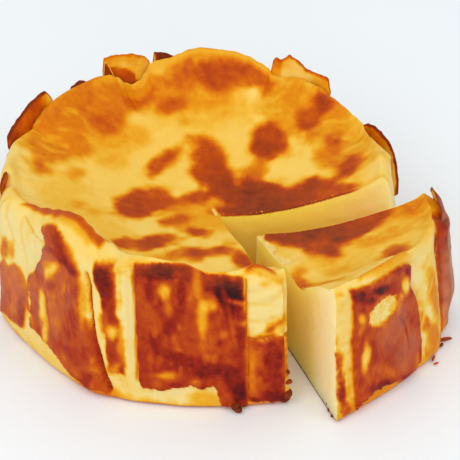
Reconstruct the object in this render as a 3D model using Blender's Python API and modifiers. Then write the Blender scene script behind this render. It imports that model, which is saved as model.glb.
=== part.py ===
"""A small burnt basque cheesecake with one slice drawn part of the way out.

The whole cake is one turned profile: a sunken top, a raised rim, a steep side and a flat base.
Its outline, rim and side are then worked uneven by angle, and one wedge cuts it into the body
and the slice. Everything is in metres, Z up, with the base on the plane Z = 0.
"""

import math

import bmesh
import bpy
from mathutils import Matrix, Vector

# Driving dimensions, in metres.
BASE_RADIUS = 0.0752  # out to the corners where the lining folded
EDGE_ROUND = 0.0018  # rounding between base and side
SIDE_LEAN = 0.0042  # how far the side has come in at the shoulder
SHOULDER_HEIGHT = 0.0460  # where the side starts to round over into the rim
CREST_RADIUS = 0.0672
CREST_HEIGHT = 0.0530  # of the turned profile, before the rim is worked uneven
CREST_ROUND = 0.0012  # how much lower the crest's inner edge is
CENTRE_HEIGHT = 0.0288  # the sunken middle of the top
BOWL_CURVE = 4.6  # the top rises by BOWL_CURVE times the radius squared
BOWL_RADIUS = 0.0480  # where the top turns up into the rim
FLAT_DEPTH = 0.0026  # how far a flat between two corners lies inside the circle
TROUGH = (282, 60, 0.0034)  # a trough in the top behind the front rim: angle, half width, depth
TROUGH_RADIUS = 0.0430
TROUGH_WIDTH = 0.0150  # from the trough's middle to where it runs out
FIN_REACH = 0.0016  # how far a fin stands outward of the crest
FULL_FIN = 0.0050  # the rise at which a fin has that reach

# The wedge that the knife freed, and how far the slice has been drawn out.
APEX = Vector((0.0051, -0.0016, 0.0))
WEDGE_START = -71.32  # degrees, the cut on the front side
WEDGE_END = -3.77  # degrees, the cut on the right side
SLICE_SHIFT = Vector((0.0136, -0.0119, 0.0))
SLICE_TURN = 1.39  # degrees

# Angles are degrees counter-clockwise from +X, seen from above.
FOLD_CORNERS = (10, 48, 86, 124, 162, 198, 240, 291, 333)

# Height of the rim's crest at some angles; the rim runs smoothly from one to the next.
RIM_HEIGHTS = (
    (14, 0.0465),
    (28, 0.0465),
    (39, 0.0485),
    (53, 0.0530),
    (62, 0.0535),
    (67, 0.0485),
    (74, 0.0555),
    (90, 0.0580),
    (103, 0.0530),
    (133, 0.0530),
    (147, 0.0520),
    (160, 0.0495),
    (175, 0.0495),
    (200, 0.0530),
    (214, 0.0565),
    (228, 0.0585),
    (246, 0.0555),
    (258, 0.0570),
    (272, 0.0533),
    (284, 0.0545),
    (291, 0.0505),
    (300, 0.0525),
    (316, 0.0525),
    (334, 0.0485),
    (356, 0.0475),
)

# Thin tongues of crust that stand up from the rim: angle, half width in degrees, rise.
FINS = (
    (14, 11, 0.0045),
    (51, 5, 0.0015),
    (61, 5, 0.0055),
    (102, 4, 0.0035),
    (115, 8, 0.0065),
    (132, 4, 0.0015),
    (157, 12, 0.0075),
    (180, 9, 0.0035),
    (316, 5, 0.0010),
    (345, 11, 0.0060),
)

# Panels of crust that lay against the lining, proud of the creased strips between them:
# first angle, last angle, how far they stand out.
PANELS = (
    (3, 27, 0.0010),
    (35, 55, 0.0008),
    (62, 93, 0.0010),
    (101, 120, 0.0009),
    (129, 154, 0.0011),
    (163, 188, 0.0009),
    (196, 211, 0.0006),
    (214, 239, 0.0011),
    (251, 280, 0.0010),
    (297, 323, 0.0012),
    (337, 358, 0.0038),
)
PANEL_EDGE = 1.2  # degrees over which a panel steps down to the strip beside it

# Where the rim has rolled over inward: angle, half width in degrees, how far.
ROLLS = (
    (112, 12, 0.0010),
    (230, 28, 0.0050),
)

# Where the side stands more upright than elsewhere: angle, half width in degrees, how far
# its shoulder stands out.
BULGES = (
    (192, 45, 0.0025),
    (285, 10, 0.0025),
)

# How finely the surface is divided.
COLUMNS = 180
BOWL_ROWS = 5
WALL_ROWS = 5
SHOULDER_ROWS = 4
SIDE_ROWS = 5


def soft_step(low, high, value):
    """Runs from 0 at low to 1 at high without a corner at either end."""
    share = min(max((value - low) / (high - low), 0.0), 1.0)
    return share * share * (3.0 - 2.0 * share)


def turn_between(angle, other):
    """The signed turn from one angle to the other, from -180 to 180 degrees."""
    return (angle - other + 180.0) % 360.0 - 180.0


def rim_height(angle):
    """Height of the crest at an angle, eased between the listed heights."""
    angle %= 360.0
    ring = [*RIM_HEIGHTS, (RIM_HEIGHTS[0][0] + 360.0, RIM_HEIGHTS[0][1])]
    for (before, low), (after, high) in zip(ring, ring[1:]):
        if before <= angle <= after:
            return low + (high - low) * soft_step(before, after, angle)
    return ring[0][1]


def flat_dip(angle):
    """How far the outline lies inside its circle, from the flats between the corners."""
    angle = (angle - FOLD_CORNERS[0]) % 360.0 + FOLD_CORNERS[0]
    corners = [*FOLD_CORNERS, FOLD_CORNERS[0] + 360.0]
    for first, last in zip(corners, corners[1:]):
        if first <= angle <= last:
            across = (2.0 * angle - first - last) / (last - first)
            return FLAT_DEPTH * (1.0 - across * across)
    return 0.0


def panel_relief(angle):
    """How far the crust stands out at an angle."""
    for first, last, proud in PANELS:
        middle = (first + last) / 2.0
        inside = (last - first) / 2.0 - abs(turn_between(angle, middle))
        if inside > -PANEL_EDGE:
            return proud * soft_step(-PANEL_EDGE, PANEL_EDGE, inside)
    return 0.0


def swells(places, angle):
    """Sum of the listed (angle, half width, height) swells at an angle."""
    total = 0.0
    for middle, half_width, height in places:
        away = abs(turn_between(angle, middle)) / half_width
        total += height * (1.0 - soft_step(0.35, 1.0, away))
    return total


def top_height(radius):
    """Height of the sunken top, which turns up towards the rim."""
    bowl = CENTRE_HEIGHT + BOWL_CURVE * radius**2
    crest_gap = CREST_HEIGHT - CREST_ROUND - CENTRE_HEIGHT - BOWL_CURVE * CREST_RADIUS**2
    return bowl + crest_gap * soft_step(BOWL_RADIUS, CREST_RADIUS, radius)


def turned_profile():
    """Radius and height down the profile, from the middle of the top to the middle of the base."""
    radii = [BOWL_RADIUS * row / BOWL_ROWS for row in range(BOWL_ROWS)]
    wall = CREST_RADIUS - CREST_ROUND - BOWL_RADIUS
    radii += [BOWL_RADIUS + wall * row / WALL_ROWS for row in range(WALL_ROWS + 1)]
    points = [(radius, top_height(radius)) for radius in radii]

    shoulder_radius = BASE_RADIUS - SIDE_LEAN
    for row in range(SHOULDER_ROWS):
        lean = math.pi / 2 * row / SHOULDER_ROWS
        radius = CREST_RADIUS + (shoulder_radius - CREST_RADIUS) * math.sin(lean)
        points.append((radius, SHOULDER_HEIGHT + (CREST_HEIGHT - SHOULDER_HEIGHT) * math.cos(lean)))
    for row in range(SIDE_ROWS + 1):
        share = row / SIDE_ROWS
        height = SHOULDER_HEIGHT + (EDGE_ROUND - SHOULDER_HEIGHT) * share
        points.append((shoulder_radius + SIDE_LEAN * share, height))
    points.append((BASE_RADIUS - EDGE_ROUND, 0.0))
    points.append((0.0, 0.0))
    return points


def worked_point(point):
    """Moves a point of the turned cake to its place on the uneven one."""
    radius = math.hypot(point.x, point.y)
    if radius < EDGE_ROUND:
        return point.copy()
    angle = math.degrees(math.atan2(point.y, point.x))
    outer = soft_step(BOWL_RADIUS, CREST_RADIUS, radius)
    upper = soft_step(0.6 * CREST_HEIGHT, CREST_HEIGHT, point.z)
    tip = soft_step(SHOULDER_HEIGHT, CREST_HEIGHT, point.z) * outer

    fin = swells(FINS, angle)
    height = point.z + (rim_height(angle) - CREST_HEIGHT) * upper + fin * tip
    front = swells([TROUGH], angle)
    trough = 1.0 - soft_step(0.0, TROUGH_WIDTH, abs(radius - TROUGH_RADIUS))
    height -= front * trough * soft_step(0.0, CENTRE_HEIGHT, point.z)

    bulge = swells(BULGES, angle) * soft_step(EDGE_ROUND, SHOULDER_HEIGHT, point.z)
    radius += outer * (panel_relief(angle) * (1.0 - 0.7 * tip) - flat_dip(angle) + bulge)
    radius += tip * (FIN_REACH * min(fin / FULL_FIN, 1.0) - swells(ROLLS, angle))
    turn = math.radians(angle)
    return Vector((radius * math.cos(turn), radius * math.sin(turn), height))


def new_collection(name):
    collection = bpy.data.collections.new(name)
    bpy.context.scene.collection.children.link(collection)
    return collection


def crust_material(name, colour, roughness):
    """A matt baked crust of one colour."""
    material = bpy.data.materials.new(name)
    material.use_nodes = True
    shader = material.node_tree.nodes["Principled BSDF"]
    shader.inputs["Base Color"].default_value = (*colour, 1.0)
    shader.inputs["Roughness"].default_value = roughness
    shader.inputs["Metallic"].default_value = 0.0
    return material


def turned_cake(collection):
    """Turns the profile about Z and returns the closed mesh of the still regular cake."""
    points = turned_profile()
    mesh = bpy.data.meshes.new("cake_profile")
    edges = [(index, index + 1) for index in range(len(points) - 1)]
    mesh.from_pydata([(radius, 0.0, height) for radius, height in points], edges, [])
    profile = bpy.data.objects.new("cake_profile", mesh)
    collection.objects.link(profile)
    screw = profile.modifiers.new("Turn", "SCREW")
    screw.steps = COLUMNS
    screw.render_steps = COLUMNS
    screw.use_merge_vertices = True
    screw.merge_threshold = 0.00002
    screw.use_normal_calculate = True
    evaluated = profile.evaluated_get(bpy.context.evaluated_depsgraph_get())
    turned = bpy.data.meshes.new_from_object(evaluated)
    bpy.data.objects.remove(profile)
    bpy.data.meshes.remove(mesh)
    return turned


def uneven_cake(collection):
    """The whole cake, before it is cut."""
    mesh = turned_cake(collection)
    mesh.name = "whole_cake"
    shape = bmesh.new()
    shape.from_mesh(mesh)
    for vertex in shape.verts:
        vertex.co = worked_point(vertex.co)
    bmesh.ops.recalc_face_normals(shape, faces=shape.faces)
    shape.to_mesh(mesh)
    shape.free()
    return mesh


def wedge_mesh():
    """A three-sided prism with one upright edge at the apex, taller and wider than the cake."""
    reach = 2.0 * BASE_RADIUS
    below = Vector((0.0, 0.0, -BASE_RADIUS / 4))
    shape = bmesh.new()
    corners = [shape.verts.new(APEX + below)]
    for angle in (WEDGE_START, WEDGE_END):
        turn = math.radians(angle)
        far = Vector((reach * math.cos(turn), reach * math.sin(turn), 0.0))
        corners.append(shape.verts.new(APEX + far + below))
    floor = shape.faces.new(corners)
    raised = bmesh.ops.extrude_face_region(shape, geom=[floor])["geom"]
    lifted = [part for part in raised if isinstance(part, bmesh.types.BMVert)]
    bmesh.ops.translate(shape, vec=(0.0, 0.0, 1.5 * BASE_RADIUS), verts=lifted)
    bmesh.ops.recalc_face_normals(shape, faces=shape.faces)
    mesh = bpy.data.meshes.new("wedge")
    shape.to_mesh(mesh)
    shape.free()
    return mesh


def cut_piece(name, mesh, wedge, operation, placement, collections, material):
    """One piece of the cake: the whole mesh with the wedge taken away, or only the wedge kept."""
    parts, cutters = collections
    cutter = bpy.data.objects.new(name + "_cutter", wedge)
    cutter.matrix_world = placement
    cutter.hide_render = True
    cutter.display_type = "WIRE"
    cutters.objects.link(cutter)

    own_mesh = mesh.copy()
    own_mesh.name = name
    own_mesh.materials.append(material)
    own_mesh.shade_smooth()
    own_mesh.set_sharp_from_angle(angle=math.radians(50.0))
    piece = bpy.data.objects.new(name, own_mesh)
    piece.matrix_world = placement
    parts.objects.link(piece)
    cut = piece.modifiers.new("Cut", "BOOLEAN")
    cut.operation = operation
    cut.object = cutter
    cut.solver = "EXACT"
    return piece


def main():
    for old in list(bpy.data.objects):
        bpy.data.objects.remove(old)
    collections = new_collection("basque_cheesecake"), new_collection("cutters")
    whole = uneven_cake(collections[0])
    wedge = wedge_mesh()
    stays = Matrix.Identity(4)
    drawn = Matrix.Translation(SLICE_SHIFT) @ Matrix.Rotation(math.radians(SLICE_TURN), 4, "Z")
    golden = crust_material("golden_crust", (0.79, 0.42, 0.09), 0.42)
    paler = crust_material("paler_golden_crust", (0.83, 0.50, 0.15), 0.42)
    cut_piece("cake_body", whole, wedge, "DIFFERENCE", stays, collections, golden)
    cut_piece("cake_slice", whole, wedge, "INTERSECT", drawn, collections, paler)
    bpy.data.meshes.remove(whole)


main()
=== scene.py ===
"""The looks of a small burnt basque cheesecake with one slice drawn part of the way out.

Lengths are millimetres and angles are degrees counter-clockwise from +X, seen from above; a mesh
becomes metres only when it is made. The cake's body and slice are each one closed mesh, laid out
along rays from the apex of the cut: out over the sunken top, over the rim, down the side and back
under the base. "bake" runs from 0, pale, to 1, charred.
"""

import itertools
import math

import bmesh
import bpy
import numpy as np
from mathutils import Matrix, Vector
from mathutils.geometry import delaunay_2d_cdt


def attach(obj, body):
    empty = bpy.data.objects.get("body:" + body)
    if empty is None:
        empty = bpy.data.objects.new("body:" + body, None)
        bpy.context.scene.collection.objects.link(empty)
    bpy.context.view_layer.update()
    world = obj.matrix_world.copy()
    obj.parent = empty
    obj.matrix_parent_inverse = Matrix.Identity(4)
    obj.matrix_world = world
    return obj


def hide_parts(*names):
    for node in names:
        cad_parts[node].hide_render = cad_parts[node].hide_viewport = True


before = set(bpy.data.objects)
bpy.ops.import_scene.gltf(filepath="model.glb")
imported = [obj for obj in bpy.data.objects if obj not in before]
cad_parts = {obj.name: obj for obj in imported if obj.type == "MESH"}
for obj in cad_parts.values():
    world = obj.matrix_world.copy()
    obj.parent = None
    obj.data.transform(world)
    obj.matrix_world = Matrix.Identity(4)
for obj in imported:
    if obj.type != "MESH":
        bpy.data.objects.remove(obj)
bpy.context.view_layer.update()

MM = 0.001

# The cut and the slice's place, as in the CAD model.
APEX = np.array((5.1, -1.6))
WEDGE_START = -71.32
WEDGE_END = -3.77
SLICE_SHIFT = (13.6, -11.9, 0.0)
SLICE_TURN = 1.39

# The plain shape under all the relief.
BASE_RADIUS = 75.2
EDGE_ROUND = 1.8
FLAT_DEPTH = 2.6
FOLD_CORNERS = (10, 48, 86, 124, 162, 198, 240, 291, 333)
CENTRE_HEIGHT = 28.8
BOWL_CURVE = 0.0046
WALL_WIDTH = 19.0  # how far inside the crest the top starts to turn up into the rim
LIP_WIDTH, LIP_HEIGHT = 3.0, 1.0
TROUGH_ANGLE = 282
TROUGH_RADIUS = 43.0
TROUGH_DEPTH = 3.4
TROUGH_HALF_WIDTH = 15
TROUGH_SPAN = (20, 60)  # how far round it goes to either side: full depth, none
SHOULDER_DROP = 7  # how far the shoulder's foot lies below a crest of the usual radius,
DROP_GAIN = 0.6  # and how much further for each millimetre that the crest lies inside it
USUAL_CREST = 67.5

# The rim's crest: angle, height, radius.
RIM = (
    (-4, 47.4, 62.4), (0, 48.2, 62.8), (6.5, 48.8, 63), (13.8, 47.4, 63.5), (18, 46.4, 64.2),
    (22.5, 45.2, 65), (26, 44.4, 66.5), (30, 45, 67.8), (34, 45.7, 68),
    (39, 47, 68), (45, 48.3, 68), (50, 50.3, 67.8), (57, 50.6, 67.5), (64, 49.4, 67.8),
    (66.6, 49.2, 68), (68.2, 52, 68), (71, 53.6, 68), (75, 55.5, 68), (80, 56.9, 68), (90, 58.4, 67.6),
    (94, 57.9, 67), (97, 56.4, 66.8), (101, 54.8, 66.7), (105, 54.4, 66.6), (107.2, 53.6, 66.5),
    (109, 50.4, 66.4), (111, 47.8, 66.2), (113.5, 46.6, 66), (116, 48, 66), (118.5, 50.8, 66.3),
    (121.5, 52.8, 66.5), (126, 53.4, 66.8), (133, 53, 67), (141, 53.2, 67), (146, 52.6, 67),
    (150, 50.6, 67), (155, 47.4, 67.2), (160, 48, 67.4), (166, 49.3, 67.6), (175, 49.8, 68),
    (181, 50.8, 67.6), (185, 49.2, 66.4), (188, 48.8, 66.2), (191, 49.8, 66.6),
    (194.5, 51.8, 67.1), (198, 52.6, 67), (203, 52.8, 65.5), (208, 53.4, 63), (214, 55.6, 61.4),
    (219, 57.6, 60.6), (223.5, 59, 60.2), (228, 59.4, 60.1), (232, 57.6, 60.1), (234.5, 55.6, 60.3),
    (239.5, 53.9, 60.6), (244, 53.3, 62.2), (247.5, 54.6, 64.4), (251, 56, 66), (256, 57, 67),
    (264, 56.5, 67.5), (271, 53.5, 68), (279, 53, 68), (284, 54.5, 67.5), (291, 50.5, 67.5),
    (297, 52, 68), (308, 53, 68), (316, 52.5, 68), (322, 50, 68), (334, 48.5, 67.5), (346, 46.8, 65.6),
    (352, 47.2, 63.6),
)

# How far the side has come in by the shoulder: angle, depth.
LEAN = (
    (0, 6), (12, 6.2), (26, 5.4), (34, 5), (60, 5), (100, 5), (150, 3.5), (190, 1.5), (215, 3),
    (240, 4), (270, 3.5),
    (290, 1.2), (291.5, 4.5), (310, 4.5), (340, 5.5), (352, 6.5),
)

# Browned patches of the top: x, y, half length, half width, turn, bake. Washes have wide soft
# edges; spots lie over them, and where several overlap they make one blot.
TOP_WASHES = (
    (-42, 40, 22, 12, 47, 0.44), (-50, 29, 17, 11, 50, 0.46), (-19, 54, 14, 5, 9, 0.48),
    (9, 61, 20, 4.6, 4, 0.44), (36, 45, 18, 11, -50, 0.36), (52, 22, 17, 10, -75, 0.33),
    (58, 8, 7, 7, 10, 0.26), (-50, -2, 16, 8, 85, 0.21), (-19, 32, 20, 17, 18, 0.15),
    (-1, 49, 19, 7, -6, 0.24), (32, 17, 10, 6, -33, 0.1), (12, 33, 11, 4, -89, 0.14),
    (-36, -20, 13, 9, -60, 0.2), (10, 2, 26, 13, 10, 0.32), (53, -9, 12, 10, 20, 0.33),
    (38, -34, 10, 7, -40, 0.2), (56, -30, 9, 12, 40, 0.2), (-30, 12, 16, 7, 70, 0.14),
    (48, -22, 12, 8, 30, 0.22), (-34, 23.5, 6, 4, 20, 0.33),
    (47.7, 43.4, 8, 5, -50, 0.42), (62, -1, 6, 5, 0, 0.1), (-55, 21, 8, 6, 60, 0.44),
    (-31, 35, 10, 6, 30, 0.34),
    (4, 65.4, 19, 4, 0, 0.38), (0, 54.5, 15, 4.6, -3, 0.38), (62, -14, 5, 9, 0, 0.36),
)
TOP_SPOTS = (
    # the blots at the left
    (-58, 9.5, 4.4, 3, -80, 0.5), (-45.5, 12, 3.4, 2.2, 50, 0.39), (-43, -6, 3.9, 2.4, 65, 0.39),
    (-38, -8.5, 2.8, 1.5, 40, 0.33), (-36, 41, 6.5, 4.5, 58, 0.55), (-43, 46.5, 4.4, 3, 62, 0.5),
    (-31, 47, 7, 3.4, 50, 0.5), (-22.5, 55, 6.5, 3, 24, 0.55), (-12, 52, 3.8, 2.6, 4, 0.6),
    (-5.5, 45.5, 3.4, 1.7, 2, 0.4), (-28.5, 30, 3, 1.4, 40, 0.3), (-33, 22, 2.4, 1.3, 10, 0.26),
    (-20.9, 4.5, 9.7, 7.4, 29, 0.68), (-25.4, -1.7, 6.2, 4.5, 68, 0.66), (-16.7, 9, 5, 4.2, 47, 0.66),
    (-15, 27.1, 6.8, 2.5, 44, 0.62), (-17.4, 23.5, 3.2, 2.8, 55, 0.64),
    # the band at the back
    (5, 65.2, 8, 1.6, -4, 0.47), (9, 60.5, 17, 3.2, 3, 0.59), (2, 61.6, 6, 2.2, 7, 0.68),
    (15, 60.8, 6.8, 2.2, 0, 0.64),
    (-8, 60.2, 5.5, 2.4, 8, 0.57), (20, 59.8, 4, 2, -12, 0.57),
    # the blot that hooks down to the cut
    (17.2, 19.7, 4.6, 3.6, 20, 0.5),
    (1.5, 36, 5.6, 3.1, -25, 0.64), (-1.5, 33.5, 3.4, 2.2, 60, 0.62), (3, 29, 7.4, 5.6, -86, 0.66),
    (1.5, 22, 6.3, 5.8, -72, 0.66), (7, 18.5, 6.5, 4.6, -86, 0.71), (-2.5, 9.5, 6.2, 3.4, 36, 0.6),
    (16.5, 8.5, 13.5, 6.4, -22, 0.8), (18.5, 12.5, 4.6, 3.2, -50, 0.78), (15, 8, 9.5, 5, -24, 0.88),
    (9, 10.5, 7.5, 4.2, -48, 0.76), (28, 5, 7.8, 4.4, -14, 0.76), (14, 1, 9, 4.5, -12, 0.82),
    (24, -0.5, 9, 4.2, -6, 0.84), (34, -1.5, 9, 4, -6, 0.78), (43, -2.2, 6, 3, -6, 0.66),
    # the blots at the right
    (24.5, 36, 8, 5.6, -73, 0.71), (23, 31, 5.4, 4.2, -38, 0.74), (28.5, 30.5, 4.6, 3, -60, 0.68),
    (20.5, 23.5, 4.2, 2, -87, 0.47), (39, 5, 8.2, 5, -28, 0.74), (34.5, 3.5, 5.2, 3.4, -25, 0.74),
    (46, -1.2, 5.5, 2.6, -20, 0.66), (39.5, 41, 5.6, 4.2, -83, 0.66), (44.5, 46.5, 3.9, 2.8, -48, 0.7),
    (48, 26.5, 5.2, 3.2, -87, 0.58), (52.5, 10.5, 6, 4.1, 59, 0.7), (46, 19, 6, 4.2, -57, 0.47),
    (36, 51, 5, 3.2, -38, 0.43), (42, 33, 3.6, 2.2, 20, 0.45),
    # the strokes in front
    (-18, -22.4, 9.6, 4.4, 32, 0.68), (-10.5, -5.6, 5, 2.5, 26, 0.58),
    (-3, -12.7, 4.6, 2.8, -30, 0.66), (-2.7, -28.9, 8, 3.6, 13, 0.67), (4.5, -28.5, 4.2, 3, 0, 0.66),
    (13.2, -34.4, 5.4, 3, -60, 0.7), (9.5, -22.7, 2.6, 1.5, -32, 0.33),
    (-14.9, -33.2, 7.9, 2, 21, 0.5), (-27, -27, 5.5, 3, 40, 0.6),
)
SLICE_SPOTS = (
    (26.7, -9, 13.5, 7.4, -26, 0.8), (16.5, -6.1, 8.4, 4, -25, 0.77), (30, -8.5, 10, 5, -26, 0.88),
    (38, -8, 9, 5.4, -16, 0.78), (48, -6.8, 6, 3.2, 14, 0.71), (27.5, -17.5, 6.4, 5, -60, 0.72),
    (20, -4.5, 10, 3, -6, 0.8), (32, -5, 10, 3.4, -4, 0.84), (44, -5.8, 8, 2.6, -4, 0.74),
    (57, -7.5, 6.5, 3.6, 4, 0.44), (48.5, -35, 5.6, 4.2, 40, 0.58), (50, -36.5, 3.4, 2.4, 30, 0.64),
    (17.9, -28.5, 2.4, 2, 78, 0.44), (18, -37.8, 5.4, 2.8, -69, 0.57), (26, -45, 6.5, 2.6, -55, 0.44),
    (31, -33, 9.5, 3.4, -58, 0.27), (43.2, -20.8, 4.2, 2.7, -25, 0.38), (50, -20, 6, 3, 20, 0.34),
)

SLIT = ((5.1, -1.6), (4.3, 0.6), (3.5, 2.8))
TORN_TIP = ((5.1, -1.6), (7.4, -7.5), (9.2, -14), (11.2, -20.4), (13.8, -21.6))

# Browned lines that run along the rim: first and last angle, distance out from the crest, half
# width, bake.
RIM_LINES = (
    (62, 108, -0.7, 0.8, 0.26), (204, 216, 0.6, 1.7, 0.58), (212, 226, 1.4, 1.7, 0.62),
    # The line from 191 to 203 degrees is painted shade, a golden line for a shallow groove just inside the
    # crest.
    (220, 238, 1.6, 2, 0.62), (222, 235, 4, 1.2, 0.36), (191, 203, -0.5, 0.6, 0.3),
    (235, 250, -3.4, 1.2, 0.4),
    (250, 278, -1.6, 0.9, 0.46), (262, 276, 1.4, 1.3, 0.5), (86, 94, 1.6, 0.7, 0.92),
    (281, 289, 0.8, 1.2, 0.6), (300, 319, -0.2, 0.9, 0.42), (107, 118, -4, 1.6, 0.4),
)

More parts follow.
